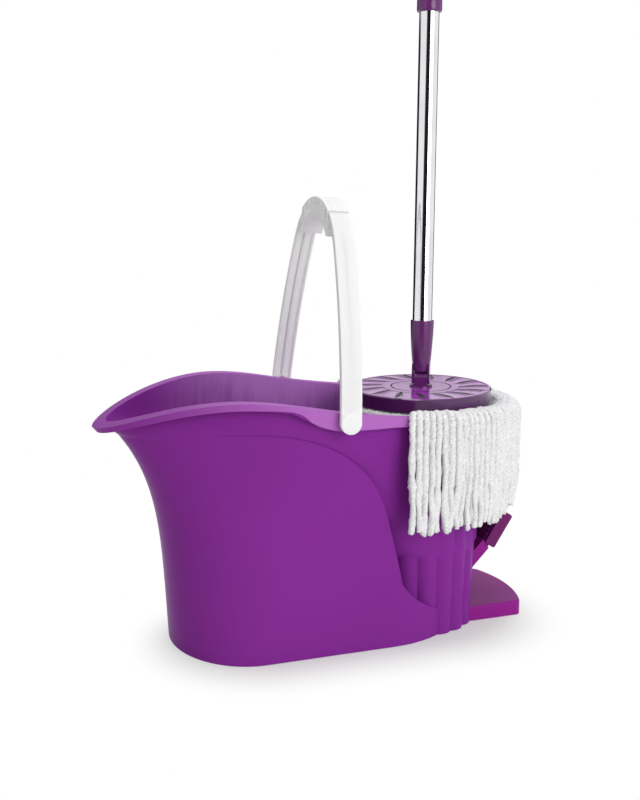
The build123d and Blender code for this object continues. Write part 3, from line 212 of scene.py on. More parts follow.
# The mop's plate. Start and end of a slit are metres from the plate's axis, slit is its half width, and
# cutLow and cutHigh are depths under the top; haze and peel are millimetres, lead and bend radians.
# Top and side are one purple, the side painted darker as painted shade; the groove colour is the painted
# shadow in the slits.
petalTop = {"top": "#9D43AF", "paintedGrooveShade": "#220C29", "side": "#4C1A54", "rough": 0.12, "haze": 40.0,
            "peel": 3.0, "petals": 15, "start": 0.043, "end": 0.077, "lead": 0.3316, "bend": -0.1745,
            "slit": 0.0044, "cutLow": 0.0009, "cutHigh": 0.0004, "crown": 0.0005, "coat": 0.4,
            "coatRough": 0.06, "slitRough": 0.6, "slitEdge": {"From Min": -0.0002, "From Max": 0.0003},
            "upward": {"From Min": 0.7, "From Max": 0.9}, "crownFade": {"From Min": 0.0, "From Max": 0.1}}
axis = np.array([0.128, 0.0])


def petalPlastic(name, look):
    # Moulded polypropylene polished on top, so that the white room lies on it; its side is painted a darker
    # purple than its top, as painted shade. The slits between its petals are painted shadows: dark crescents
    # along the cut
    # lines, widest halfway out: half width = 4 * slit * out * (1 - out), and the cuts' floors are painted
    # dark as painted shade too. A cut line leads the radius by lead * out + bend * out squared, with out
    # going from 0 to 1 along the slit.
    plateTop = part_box("mop_plate")[1][2]
    petalTurn = 2.0 * np.pi / look["petals"]
    material, tree = newMaterial(name)
    place = addNode(tree, "TexCoord").outputs["Object"]
    flat = addNode(tree, "Mapping", {"Location": (-axis[0], -axis[1], 0.0), "Scale": (1.0, 1.0, 0.0)},
                   {"Vector": place})
    reach = addNode(tree, "VectorMath", {"operation": "LENGTH"}, {0: flat}).outputs["Value"]
    sides = addNode(tree, "SeparateXYZ", {}, {0: flat})
    turn = addNode(tree, "Math", {"operation": "ARCTAN2"}, {0: sides.outputs["Y"], 1: sides.outputs["X"]})
    out = addNode(tree, "MapRange", {"From Min": look["start"], "From Max": look["end"], "clamp": False},
                  {"Value": reach})
    bow = addNode(tree, "Math", {"operation": "MULTIPLY_ADD", 1: look["bend"], 2: look["lead"]}, {0: out})
    lag = addNode(tree, "Math", {"operation": "MULTIPLY"}, {0: out, 1: bow})
    left = addNode(tree, "Math", {"operation": "SUBTRACT"}, {0: turn, 1: lag})
    aside = addNode(tree, "Math", {"operation": "PINGPONG", 1: petalTurn / 2}, {0: left})
    across = addNode(tree, "Math", {"operation": "MULTIPLY"}, {0: aside, 1: reach})
    rest = addNode(tree, "Math", {"operation": "MULTIPLY_ADD", 1: -1.0, 2: 1.0}, {0: out})
    hump = addNode(tree, "Math", {"operation": "MULTIPLY"}, {0: out, 1: rest})
    wide = addNode(tree, "Math", {"operation": "MULTIPLY", 1: 4.0 * look["slit"]}, {0: hump})
    inside = addNode(tree, "Math", {"operation": "SUBTRACT"}, {0: wide, 1: across})
    # painted shadow: a dark crescent along each slit, wider than the cut itself
    slit = addNode(tree, "MapRange", {**soft, **look["slitEdge"]}, {"Value": inside})
    height = addNode(tree, "SeparateXYZ", {}, {0: place}).outputs["Z"]
    facing = addNode(tree, "NewGeometry").outputs["Normal"]
    facing = addNode(tree, "SeparateXYZ", {}, {0: facing}).outputs["Z"]
    # painted shade on the floor of the cut, below the plate's top
    cutShade = addNode(tree, "MapRange",
                  {**soft, "From Min": plateTop - look["cutLow"], "From Max": plateTop - look["cutHigh"],
                   "To Min": 1.0, "To Max": 0.0}, {"Value": height})
    slitShadow = addNode(tree, "Math", {"operation": "MAXIMUM"}, {0: cutShade, 1: slit})
    upward = addNode(tree, "MapRange", {**soft, **look["upward"]}, {"Value": facing})
    slitShadow = addNode(tree, "Math", {"operation": "MULTIPLY"}, {0: slitShadow, 1: upward})
    # painted shade: faces that turn away from straight up take the darker side colour
    shade = addNode(tree, "Mix", {**mix, 6: colour(look["side"]), 7: colour(look["top"])}, {0: upward})
    shade = addNode(tree, "Mix", {**mix, 7: colour(look["paintedGrooveShade"])}, {0: slitShadow, 6: shade.outputs[2]})
    haze = addNode(tree, "TexNoise", {"Scale": 1000.0 / look["haze"], "Detail": 1.0}, {"Vector": place})
    haze = addNode(tree, "MapRange",
                   {**soft, **moulding["hazeSpan"], "To Min": look["rough"] - moulding["clearer"],
                    "To Max": look["rough"] + moulding["hazier"]}, {"Value": haze})
    smear = addNode(tree, "Math", {"operation": "MULTIPLY_ADD", 1: look["slitRough"]}, {0: slitShadow, 2: haze})
    # each petal is crowned from slit to slit, so it catches the room differently from its neighbour
    share = addNode(tree, "Math", {"operation": "MULTIPLY", 1: np.pi / petalTurn}, {0: aside})
    crown = addNode(tree, "Math", {"operation": "SINE"}, {0: share})
    fade = addNode(tree, "MapRange", {**soft, **look["crownFade"]}, {"Value": hump})
    crown = addNode(tree, "Math", {"operation": "MULTIPLY"}, {0: crown, 1: fade})
    crown = addNode(tree, "Math", {"operation": "MULTIPLY"}, {0: crown, 1: upward})
    petal = addNode(tree, "Bump", {"Strength": 1.0, "Distance": look["crown"]}, {"Height": crown})
    peel = addNode(tree, "TexNoise", {"Scale": 1000.0 / look["peel"], "Detail": 1.0}, {"Vector": place})
    peel = addNode(tree, "Bump", {"Strength": moulding["peelShare"], "Distance": moulding["peelDepth"]},
                   {"Height": peel, "Normal": petal})
    shader = addNode(tree, "BsdfPrincipled",
                     {"IOR": moulding["index"], "Coat Weight": look["coat"],
                      "Coat Roughness": look["coatRough"]},
                     {"Base Color": shade.outputs[2], "Roughness": smear, "Normal": peel})
    addNode(tree, "OutputMaterial", {}, {"Surface": shader})
    return material


# Steel. Line and haze are millimetres; the lines are stretched along the draw. Hazier is how far haze takes
# the roughness up.
drawnSteel = {"line": 1.2, "stretch": 0.03, "hairDepth": 0.0002, "haze": 30.0, "hazier": 0.06,
              "hazeSpan": {"From Min": 0.3, "From Max": 0.7}, "dullSpan": {"From Min": 0.4, "From Max": 0.7}}
chromeTube = {"body": "#E8E8EB", "dull": "#E0E0E4", "rough": 0.04, "grain": 0.008}
brightSteel = {"body": "#B4B6B8", "dull": "#9B9DA0", "rough": 0.22, "grain": 0.25}


def platedSteel(name, look):
    # Steel drawn and then plated or left bright: mirror-like, with hair lines along the draw and a faint
    # haze. The hair lines are drawn coarser than the real ones, to show.
    material, tree = newMaterial(name)
    place = addNode(tree, "TexCoord").outputs["Object"]
    drawn = addNode(tree, "Mapping", {"Scale": (1.0, 1.0, drawnSteel["stretch"])}, {"Vector": place})
    lines = addNode(tree, "TexNoise", {"Scale": 1000.0 / drawnSteel["line"], "Detail": 4.0},
                    {"Vector": drawn})
    haze = addNode(tree, "TexNoise", {"Scale": 1000.0 / drawnSteel["haze"], "Detail": 4.0},
                   {"Vector": place})
    dull = addNode(tree, "MapRange", {**soft, **drawnSteel["dullSpan"]}, {"Value": haze})
    shade = addNode(tree, "Mix", {**mix, 6: colour(look["body"]), 7: colour(look["dull"])}, {0: dull})
    smear = addNode(tree, "MapRange",
                    {**soft, **drawnSteel["hazeSpan"], "To Min": look["rough"],
                     "To Max": look["rough"] + drawnSteel["hazier"]}, {"Value": haze})
    hair = addNode(tree, "Bump", {"Strength": look["grain"], "Distance": drawnSteel["hairDepth"]},
                   {"Height": lines})
    shader = addNode(tree, "BsdfPrincipled", {"Metallic": 1.0},
                     {"Base Color": shade.outputs[2], "Roughness": smear, "Normal": hair})
    addNode(tree, "OutputMaterial", {}, {"Surface": shader})
    return material


# Gears, bush and seal. Grain is millimetres, its depth metres.
evenGrain = {"depth": 0.0003, "share": 0.2, "span": {"From Min": 0.35, "From Max": 0.65}}
acetal = {"body": "#E7E4DC", "deep": "#DAD6CC", "rough": 0.45, "grain": 2.0}
rubber = {"body": "#1B1B1D", "deep": "#242427", "rough": 0.6, "grain": 1.5}


def mattPlastic(name, look):
    # Machined acetal or moulded rubber: dull, with a fine even grain.
    material, tree = newMaterial(name)
    place = addNode(tree, "TexCoord").outputs["Object"]
    grain = addNode(tree, "TexNoise", {"Scale": 1000.0 / look["grain"], "Detail": 4.0}, {"Vector": place})
    deep = addNode(tree, "MapRange", {**soft, **evenGrain["span"]}, {"Value": grain})
    shade = addNode(tree, "Mix", {**mix, 6: colour(look["body"]), 7: colour(look["deep"])}, {0: deep})
    bump = addNode(tree, "Bump", {"Strength": evenGrain["share"], "Distance": evenGrain["depth"]},
                   {"Height": grain})
    shader = addNode(tree, "BsdfPrincipled", {"Roughness": look["rough"]},
                     {"Base Color": shade.outputs[2], "Normal": bump})
    addNode(tree, "OutputMaterial", {}, {"Surface": shader})
    return material


# Cotton. Twist is metres for one turn of a ply; fuzz, patch and lump are millimetres. The two ranges for the
# valleys between plies and between tufts set how grey the yarn is painted there: painted shade.
yarnTwist, yarnPlies = 0.0125, 2
cottonYarn = {"body": "#F5F5F5", "worn": "#EEEEEF", "paintedValleyShade": "#CBCACF", "fuzz": 1.6, "patch": 20.0,
              "lump": 6.0, "uneven": 1.4, "plyDepth": 0.0006, "plyShare": 0.35, "fuzzDepth": 0.0009,
              "fuzzShare": 0.8, "rough": 0.9, "sheen": 0.25, "sheenRough": 0.6,
              "between": {"From Min": -1.0, "From Max": 0.0, "To Min": 0.45, "To Max": 0.0},
              "tufts": {"From Min": 0.30, "From Max": 0.62, "To Min": 0.8, "To Max": 0.0},
              "wornSpan": {"From Min": 0.2, "From Max": 0.8}}


def twistedCotton(name, look):
    # Spun cotton yarn: two plies winding unevenly round each other, fuzzy all over, with painted shade
    # greying the valleys between the plies and between the tufts. The UV map runs once round the strand in U
    # and in metres along it in V. The fuzz is drawn coarser than single fibres, to show.
    material, tree = newMaterial(name)
    place = addNode(tree, "UVMap", {"uv_map": "strand"})
    split = addNode(tree, "SeparateXYZ", {}, {0: place})
    turns = addNode(tree, "Math", {"operation": "MULTIPLY", 1: yarnPlies}, {0: split.outputs["X"]})
    along = addNode(tree, "Math", {"operation": "MULTIPLY", 1: yarnPlies / yarnTwist},
                    {0: split.outputs["Y"]})
    wound = addNode(tree, "Math", {"operation": "SUBTRACT"}, {0: turns, 1: along})
    solid = addNode(tree, "TexCoord").outputs["Object"]
    fuzz = addNode(tree, "TexNoise", {"Scale": 1000.0 / look["fuzz"], "Detail": 3.0}, {"Vector": solid})
    patch = addNode(tree, "TexNoise", {"Scale": 1000.0 / look["patch"], "Detail": 2.0}, {"Vector": solid})
    lump = addNode(tree, "TexNoise", {"Scale": 1000.0 / look["lump"], "Detail": 3.0}, {"Vector": solid})
    uneven = addNode(tree, "Math", {"operation": "MULTIPLY_ADD", 1: look["uneven"]}, {0: lump, 2: wound})
    angle = addNode(tree, "Math", {"operation": "MULTIPLY", 1: 2.0 * np.pi}, {0: uneven})
    wave = addNode(tree, "Math", {"operation": "COSINE"}, {0: angle})
    # painted shade: the valleys of the plies and of the fuzz are greyed
    between = addNode(tree, "MapRange", {**soft, **look["between"]}, {"Value": wave})
    tufts = addNode(tree, "MapRange", {**soft, **look["tufts"]}, {"Value": fuzz})
    paintedGrooveShade = addNode(tree, "Math", {"operation": "MAXIMUM"}, {0: tufts, 1: between})
    worn = addNode(tree, "MapRange", {**soft, **look["wornSpan"]}, {"Value": patch})
    shade = addNode(tree, "Mix", {**mix, 6: colour(look["body"]), 7: colour(look["worn"])}, {0: worn})
    shade = addNode(tree, "Mix", {**mix, 7: colour(look["paintedValleyShade"])}, {0: paintedGrooveShade, 6: shade.outputs[2]})
    plies = addNode(tree, "Bump", {"Strength": look["plyShare"], "Distance": look["plyDepth"]},
                    {"Height": wave})
    fibres = addNode(tree, "Bump", {"Strength": look["fuzzShare"], "Distance": look["fuzzDepth"]},
                     {"Height": fuzz, "Normal": plies})
    shader = addNode(tree, "BsdfPrincipled",
                     {"Roughness": look["rough"], "Sheen Weight": look["sheen"],
                      "Sheen Roughness": look["sheenRough"]},
                     {"Base Color": shade.outputs[2], "Normal": fibres})
    addNode(tree, "OutputMaterial", {}, {"Surface": shader})
    return material


materials = {
    "bucket_purple": mouldedPlastic("polypropylene-moulded-purple", purpleTub),
    "plate_magenta": mouldedPlastic("polypropylene-moulded-magenta", magentaPlate),
    "dark_purple": mouldedPlastic("polypropylene-moulded-dark-purple", darkCollar),
    "handle_white": mouldedPlastic("polypropylene-moulded-white", whiteBail),
    "acetal": mattPlastic("acetal-machined", acetal),
    "steel": platedSteel("steel-drawn-bright", brightSteel),
    "chrome": platedSteel("steel-chrome-plated", chromeTube),
    "seal_rubber": mattPlastic("nitrile-rubber-moulded", rubber),
    "yarn": twistedCotton("cotton-yarn-twisted", cottonYarn),
}
petals = petalPlastic("polypropylene-moulded-petals", petalTop)
tread = mouldedPlastic("polypropylene-moulded-tread", magentaTread)
grip = mouldedPlastic("polypropylene-moulded-grip", gripPaintedPaler)
ribWhite = mouldedPlastic("polypropylene-moulded-rib", whiteRib)
ownFinish = {"mop_plate": petals, "pedal_tread": tread, "bail_grip": grip}
print("materials made")


def follow(knots, count):
    # Catmull-Rom curve through the knots of every strand at once: each stretch between two knots is a
    # cubic that leaves and arrives along the line joining the knots to either side.
    last = knots.shape[1] - 1
    t = np.linspace(0.0, last, count)
    at = np.minimum(t.astype(int), last - 1)
    u = (t - at)[None, :, None]
    before, start, end, after = (knots[:, np.clip(at + k, 0, last)] for k in (-1, 0, 1, 2))
    return 0.5 * (2 * start + (end - before) * u + (2 * before - 5 * start + 4 * end - after) * u ** 2
                  + (3 * start - before - 3 * end + after) * u ** 3)


# One strand of yarn. Radius and swellRun are metres; ply, bead, tuft and swell are shares of the radius;
# press is what is left of its thickness where it lies flat; a tip is drawn in over a few rings.
strand = {"radius": 0.0034, "sides": 9, "ply": 0.07, "bead": 0.07, "tuft": 0.12, "fray": 0.5, "swell": 0.06,
          "swellRun": 0.045, "thin": 0.86, "fat": 1.14, "press": 0.55, "tip": 0.7, "tipRings": 3.0}


def strandMesh(name, paths, side, shape):
    # Tubes of twisted yarn along the paths. Each ring lies across its path; its radius swells twice round,
    # and the swelling winds along the strand once in every twist length, so the two plies show. The strand is
    # also a little fatter at each ply's crown, tufted all over, and pressed flat where it lies on the rim.
    count, rings = paths.shape[:2]
    sides = shape["sides"]
    step = np.gradient(paths, axis=1)
    length = np.linalg.norm(step, axis=2, keepdims=True)
    tangent = step / length
    across = side[:, None, :] - (side[:, None, :] * tangent).sum(2, keepdims=True) * tangent
    across /= np.linalg.norm(across, axis=2, keepdims=True)
    up = np.cross(tangent, across)
    travelled = np.cumsum(length[..., 0], axis=1)
    phi = np.arange(sides) * 2 * np.pi / sides
    twist = 2 * np.pi * yarnPlies * travelled / yarnTwist
    wind = yarnPlies * phi[None, None, :] - twist[..., None]
    end = np.clip((rings - 1 - np.arange(rings)) / shape["tipRings"], 0.0, 1.0)
    taper = shape["tip"] + (1.0 - shape["tip"]) * np.sqrt(end)
    phase = dice.uniform(0, 2 * np.pi, (2, count, 1))
    plump = dice.uniform(shape["thin"], shape["fat"], (count, 1))
    plump = plump + shape["swell"] * np.sin(travelled / shape["swellRun"] + phase[0])
    plump = plump + shape["bead"] * np.cos(twist + phase[1])
    fray = shape["tuft"] * (1.0 + shape["fray"] * (1.0 - end))
    tufts = 1.0 + fray[:, None] * dice.normal(0.0, 1.0, (count, rings, sides))
    radius = shape["radius"] * (1.0 + shape["ply"] * np.cos(wind)) * (taper[None] * plump)[..., None] * tufts
    squash = shape["press"] + (1.0 - shape["press"]) * np.abs(tangent[..., 2])
    ring = (np.cos(phi)[None, None, :, None] * across[:, :, None, :]
            + (np.sin(phi) * squash[..., None])[..., None] * up[:, :, None, :])
    points = (paths[:, :, None, :] + radius[..., None] * ring).reshape(-1, 3)
    near = np.arange(sides)
    far = (near + 1) % sides
    row = (np.arange(rings - 1) * sides)[:, None]
    first = (np.arange(count) * rings * sides)[:, None]
    quads = np.stack([row + near, row + far, row + far + sides, row + near + sides], axis=-1).reshape(-1, 4)
    quads = (quads[None] + first[:, :, None]).reshape(-1, 4)
    firstCap = first + near[::-1]
    lastCap = first + (rings - 1) * sides + near
    mesh = bpy.data.meshes.new(name)
    mesh.from_pydata(points.tolist(), [], quads.tolist() + firstCap.tolist() + lastCap.tolist())
    u0 = np.broadcast_to(near / sides, (count, rings - 1, sides))
    u1 = u0 + 1.0 / sides
    v0 = np.broadcast_to(travelled[:, :-1, None], u0.shape)
    v1 = np.broadcast_to(travelled[:, 1:, None], u0.shape)
    corners = np.stack([np.stack([u0, v0], -1), np.stack([u1, v0], -1),
                        np.stack([u1, v1], -1), np.stack([u0, v1], -1)], axis=-2).reshape(-1, 2)
    capCorners = np.zeros((count * sides * 2, 2))
    layer = mesh.uv_layers.new(name="strand")
    layer.data.foreach_set("uv", np.concatenate([corners, capCorners]).ravel())
    mesh.polygons.foreach_set("use_smooth", np.ones(len(mesh.polygons), dtype=bool))
    piece = bpy.data.objects.new(name, mesh)
    bpy.context.scene.collection.objects.link(piece)
    mesh.materials.append(materials["yarn"])
    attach(piece, "mop_head")
    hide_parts("mop_yarn")


# How strands sway: lengths are metres, drift and lean are shares of the sway's height.
sway = {"lockLeast": 3, "lockMost": 6, "fall": 0.08, "fallMost": 1.5, "waveShort": 0.045, "waveLong": 0.08,
        "drift": 0.6, "driftMost": 0.8, "lean": 0.45}


def waver(paths, side, height, start):
    # each strand sways a little, by its own phase, drifts to one side, more the lower it hangs, and leans
    # towards the middle of the lock of a few strands that it hangs in
    count = paths.shape[0]
    ends = np.cumsum(dice.integers(sway["lockLeast"], sway["lockMost"] + 1, count))
    lock = np.searchsorted(ends, np.arange(count), side="right")
    starts = np.concatenate([[0], ends])
    lean = (starts[lock] + ends[lock] - 1) / 2 - np.arange(count)
    fall = np.clip((start - paths[..., 2]) / sway["fall"], 0.0, sway["fallMost"])
    phase = dice.uniform(0, 2 * np.pi, (count, 1))
    wave = dice.uniform(sway["waveShort"], sway["waveLong"], (count, 1))
    drift = np.clip(dice.normal(0.0, sway["drift"], (count, 1)), -sway["driftMost"], sway["driftMost"])
    drift = (drift + sway["lean"] * lean[:, None]) * height
    swing = np.sin(2 * np.pi * paths[..., 2] / wave + phase) * height * np.minimum(fall, 1.0) + drift * fall
    return paths + swing[..., None] * side[:, None, :]


# The rear of the rim: half width, tail and start of its curve, how far the curve's handles reach, where the
# yarn begins, and the heights of its top over the bucket's length.
rimLine = {"half": 0.10405, "tail": 0.223, "back": -0.022, "sidePull": 0.7523, "tailPull": 0.8023,
           "begin": 0.0645, "steps": 400, "chance": 0.2, "x": (-0.0025, 0.06, 0.128, 0.263),
           "top": (0.2665, 0.2575, 0.2515, 0.2505)}


def rimOutline(grow, tailGrow, count):
    # Points round the rear of the rim, grown outwards: a cubic from the straight side to the middle of the
    # tail, mirrored to the other side, with points spaced evenly along the line but for a little chance.
    half = rimLine["half"] + grow
    tail = rimLine["tail"] + tailGrow
    back = rimLine["back"]
    t = np.linspace(0.0, 1.0, rimLine["steps"])[:, None]
    knots = np.array([[back, half], [back + rimLine["sidePull"] * (tail - back), half],
                      [tail, rimLine["tailPull"] * half], [tail, 0.0]])
    curve = ((1 - t) ** 3 * knots[0] + 3 * (1 - t) ** 2 * t * knots[1]
             + 3 * (1 - t) * t ** 2 * knots[2] + t ** 3 * knots[3])
    curve = curve[curve[:, 0] > rimLine["begin"]]
    whole = np.concatenate([curve * [1, -1], curve[::-1][1:]])
    travelled = np.concatenate([[0], np.cumsum(np.linalg.norm(np.diff(whole, axis=0), axis=1))])
    chance = dice.uniform(-rimLine["chance"], rimLine["chance"], count)
    stops = (np.arange(count) + 0.5 + chance) * travelled[-1] / count
    return np.stack([np.interp(stops, travelled, whole[:, k]) for k in (0, 1)], axis=1)


def spot(outward, distance, height):
    # a point for every strand: so far out from the mop's axis and so high
    flat = np.zeros((len(outward), 1))
    return np.concatenate([axis + outward * (distance + flat), height + flat], axis=1)


# Strands that come from under the plate, climb over the rear of the rim and hang down outside the bucket.
skirtRows = ({"name": "yarnSkirtInner", "grow": 0.0114, "tailGrow": 0.0108, "count": 62, "lift": 0.0021},
             {"name": "yarnSkirtOuter", "grow": 0.0142, "tailGrow": 0.0114, "count": 60, "lift": 0.0029})
# Ring, plate edge and the dip after it as reach and height; then steps back from the hanging line, and falls
# from the rim's top. The hem's height goes over from tail to side by the distance from the middle.
drape = {"ring": (0.064, 0.2495), "edge": (0.078, 0.2468), "dip": (0.0856, 0.2492), "climb": 0.0045,
         "shoulder": (0.0085, 0.0006), "bend": (0.0014, 0.0045), "drop": 0.016, "tuck": 0.001,
         "hemAside": (0.060, 0.092), "hem": (0.156, 0.130), "rings": 92, "sway": 0.0013, "swayFrom": 0.235,
         "edgeChance": 0.0008, "climbChance": 0.001, "hangChance": 0.0007, "tuckChance": 0.001,
         "hemChance": 0.004}
for row in skirtRows:
    hang = rimOutline(row["grow"], row["tailGrow"], row["count"])
    outward = hang - axis
    reach = np.linalg.norm(outward, axis=1, keepdims=True)
    outward = outward / reach
    sideways = np.concatenate([-outward[:, 1:], outward[:, :1], np.zeros((row["count"], 1))], axis=1)
    rim = np.interp(hang[:, 0], rimLine["x"], rimLine["top"])[:, None]
    chance = dice.uniform(-1.0, 1.0, (row["count"], 6))
    hem = np.interp(np.abs(hang[:, 1:]), drape["hemAside"], drape["hem"]) + drape["hemChance"] * chance[:, :1]
    top = rim + row["lift"]
    low = rim - drape["drop"]
    knots = np.stack([
        spot(outward, *drape["ring"]),
        spot(outward, drape["edge"][0], drape["edge"][1] + drape["edgeChance"] * chance[:, 1:2]),
        spot(outward, drape["dip"][0], np.minimum(drape["dip"][1], rim)),
        spot(outward, reach - row["grow"] - drape["climb"], top + drape["climbChance"] * chance[:, 2:3]),
        spot(outward, reach - drape["shoulder"][0], top + drape["shoulder"][1]),
        spot(outward, reach - drape["bend"][0], top - drape["bend"][1]),
        spot(outward, reach, low),
        spot(outward, reach + drape["hangChance"] * chance[:, 3:4], (low + hem) / 2),
        spot(outward, reach - drape["tuck"] + drape["tuckChance"] * chance[:, 4:5], hem),
    ], axis=1)
    paths = waver(follow(knots, drape["rings"]), sideways, drape["sway"], drape["swayFrom"])
    strandMesh(row["name"], paths, sideways, strand)
print("skirt of yarn hung")


# Strands on the spout's side: they bulge out from under the plate and fall inside the basket. Knots are reach
# from the mop's axis and height.
curtain = {"count": 42, "spread": 112.0, "ring": (0.060, 0.2495), "edge": (0.0765, 0.2490),
           "bulge": (0.0805, 0.2458), "under": (0.0745, 0.2402), "neck": (0.0685, 0.2310),
           "fall": (0.0610, 0.205), "end": (0.0515, 0.156), "rings": 60, "sway": 0.001, "swayFrom": 0.23,
           "turnChance": 0.01, "bulgeChance": 0.0008, "fallChance": 0.002, "endChance": 0.003,
           "hemChance": 0.006}
turn = np.pi + np.linspace(-0.5, 0.5, curtain["count"]) * radians(curtain["spread"])
turn = turn + dice.uniform(-curtain["turnChance"], curtain["turnChance"], curtain["count"])
outward = np.stack([np.cos(turn), np.sin(turn)], axis=1)
sideways = np.concatenate([-outward[:, 1:], outward[:, :1], np.zeros((curtain["count"], 1))], axis=1)
chance = dice.uniform(-1.0, 1.0, (curtain["count"], 4))
knots = np.stack([
    spot(outward, *curtain["ring"]),
    spot(outward, *curtain["edge"]),
    spot(outward, curtain["bulge"][0], curtain["bulge"][1] + curtain["bulgeChance"] * chance[:, :1]),
    spot(outward, *curtain["under"]),
    spot(outward, *curtain["neck"]),
    spot(outward, curtain["fall"][0] + curtain["fallChance"] * chance[:, 1:2], curtain["fall"][1]),
    spot(outward, curtain["end"][0] + curtain["endChance"] * chance[:, 2:3],
         curtain["end"][1] + curtain["hemChance"] * chance[:, 3:4]),
], axis=1)
paths = waver(follow(knots, curtain["rings"]), sideways, curtain["sway"], curtain["swayFrom"])
strandMesh("yarnCurtain", paths, sideways, strand)
print("curtain of yarn hung")


# A rib across the roof of the fork's slot, which closes the view between fork and lug. Lean and toward are
# the pole's, in degrees; half is half its depth and width half its length along the pin.
slotRib = {"pin": (0.128, 0.0, 0.277), "lean": 3.2, "toward": 60.0, "hollow": 0.00725, "top": 0.0084,
           "half": 0.0018, "width": 0.0074, "steps": 9}


def forkRib(shape):
    # A bar along the hinge pin: flat on top where it grows from the fork, and hollowed underneath to a circle
    # round the pin, height = root(hollow squared - depth squared), so that it clears the lug's round head.
    lean, toward = radians(shape["lean"]), radians(shape["toward"])
    pinWay = np.array([np.sin(toward), -np.cos(toward), 0.0])
    poleWay = np.array([np.sin(lean) * np.cos(toward), np.sin(lean) * np.sin(toward), np.cos(lean)])
    sideWay = np.cross(poleWay, pinWay)
    depth = np.linspace(-shape["half"], shape["half"], shape["steps"])
    under = np.sqrt(shape["hollow"] ** 2 - depth ** 2)
    loop = np.concatenate([np.stack([depth, under], 1), np.stack([depth[::-1], under * 0 + shape["top"]], 1)])
    edge = np.array(shape["pin"]) + loop[:, :1] * sideWay + loop[:, 1:] * poleWay
    points = np.concatenate([edge - shape["width"] * pinWay, edge + shape["width"] * pinWay])
    count = len(loop)
    near = np.arange(count)
    far = (near + 1) % count
    walls = np.stack([near, far, far + count, near + count], axis=1)
    mesh = bpy.data.meshes.new("forkRib")
    mesh.from_pydata(points.tolist(), [], walls.tolist() + [near[::-1].tolist(), (near + count).tolist()])
    mesh.materials.append(materials["dark_purple"])
    piece = bpy.data.objects.new("forkRib", mesh)
    bpy.context.scene.collection.objects.link(piece)
    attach(piece, "pole_lower")


forkRib(slotRib)
print("rib in the fork")


# A rib down the middle of the channel on the inside of the bail's strap, from each foot up to the grip. Root
# and depth are offsets out of and into the arch; half and topHalf are half its width below and on top.
strapRib = {"foot": (-0.0025, 0.0, 0.258), "lean": 4.0, "spread": 0.120, "sideRadius": 0.6324, "splay": 9.0,
            "turn": 26.2, "crownRadius": 0.070, "start": 9.5, "gripEdge": 0.0423, "root": 0.0010,
            "depth": 0.0009, "half": 0.0018, "topHalf": 0.0009, "sideSteps": 24, "crownSteps": 12}


def strapRibs(shape):
    # In the bail's plane each side of the strap is a wide arc from the foot and then the crown's arc. A point
    # of an arc lies at centre - (radius + offset) * cosine across and centre + (radius + offset) * sine up.
    splay, turn, lean = radians(shape["splay"]), radians(shape["turn"]), radians(shape["lean"])
    wide, tight = shape["sideRadius"], shape["crownRadius"]
    low = np.linspace(radians(shape["start"]), turn, shape["sideSteps"] + 1)
    high = np.linspace(turn, np.arccos(shape["gripEdge"] / tight), shape["crownSteps"] + 1)[1:]
    angle = np.concatenate([low, high])[:, None]
    radius = np.concatenate([low * 0 + wide, high * 0 + tight])[:, None]
    centreAcross = np.concatenate([low * 0 + wide * np.cos(splay) - shape["spread"], high * 0])[:, None]
    crownUp = wide * (np.sin(turn) - np.sin(splay)) - tight * np.sin(turn)
    centreUp = np.concatenate([low * 0 - wide * np.sin(splay), high * 0 + crownUp])[:, None]
    offset = np.array([shape["root"], shape["root"], -shape["depth"], -shape["depth"]])
    thick = np.array([-shape["half"], shape["half"], shape["topHalf"], -shape["topHalf"]])
    across = centreAcross - (radius + offset) * np.cos(angle)
    up = centreUp + (radius + offset) * np.sin(angle)
    x = shape["foot"][0] + up * np.sin(lean) + thick * np.cos(lean)
    z = shape["foot"][2] + up * np.cos(lean) - thick * np.sin(lean)
    rings, sides = across.shape
    near = np.arange(sides)
    far = (near + 1) % sides
    row = (np.arange(rings - 1) * sides)[:, None]
    walls = np.stack([row + near, row + far, row + far + sides, row + near + sides], axis=-1).reshape(-1, 4)
    loops = walls.tolist() + [near[::-1].tolist(), (near + (rings - 1) * sides).tolist()]
    points = []
    faces = []
    for way in (1, -1):
        faces += [[k + len(points) for k in loop[::way]] for loop in loops]
        points += np.stack([x, way * across, z], axis=-1).reshape(-1, 3).tolist()
    mesh = bpy.data.meshes.new("strapRibs")
    mesh.from_pydata(points, [], faces)
    mesh.materials.append(ribWhite)
    piece = bpy.data.objects.new("strapRibs", mesh)
    bpy.context.scene.collection.objects.link(piece)
    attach(piece, "bail")


strapRibs(strapRib)
print("ribs in the strap")


slots = {part["node"]: part["material_slot"] for part in frame["record"]["subparts"]}
for nodeName, piece in frame["nodes"].items():
    piece.data.materials.clear()
    piece.data.materials.append(ownFinish.get(nodeName) or materials[slots[nodeName]])
print("materials given")


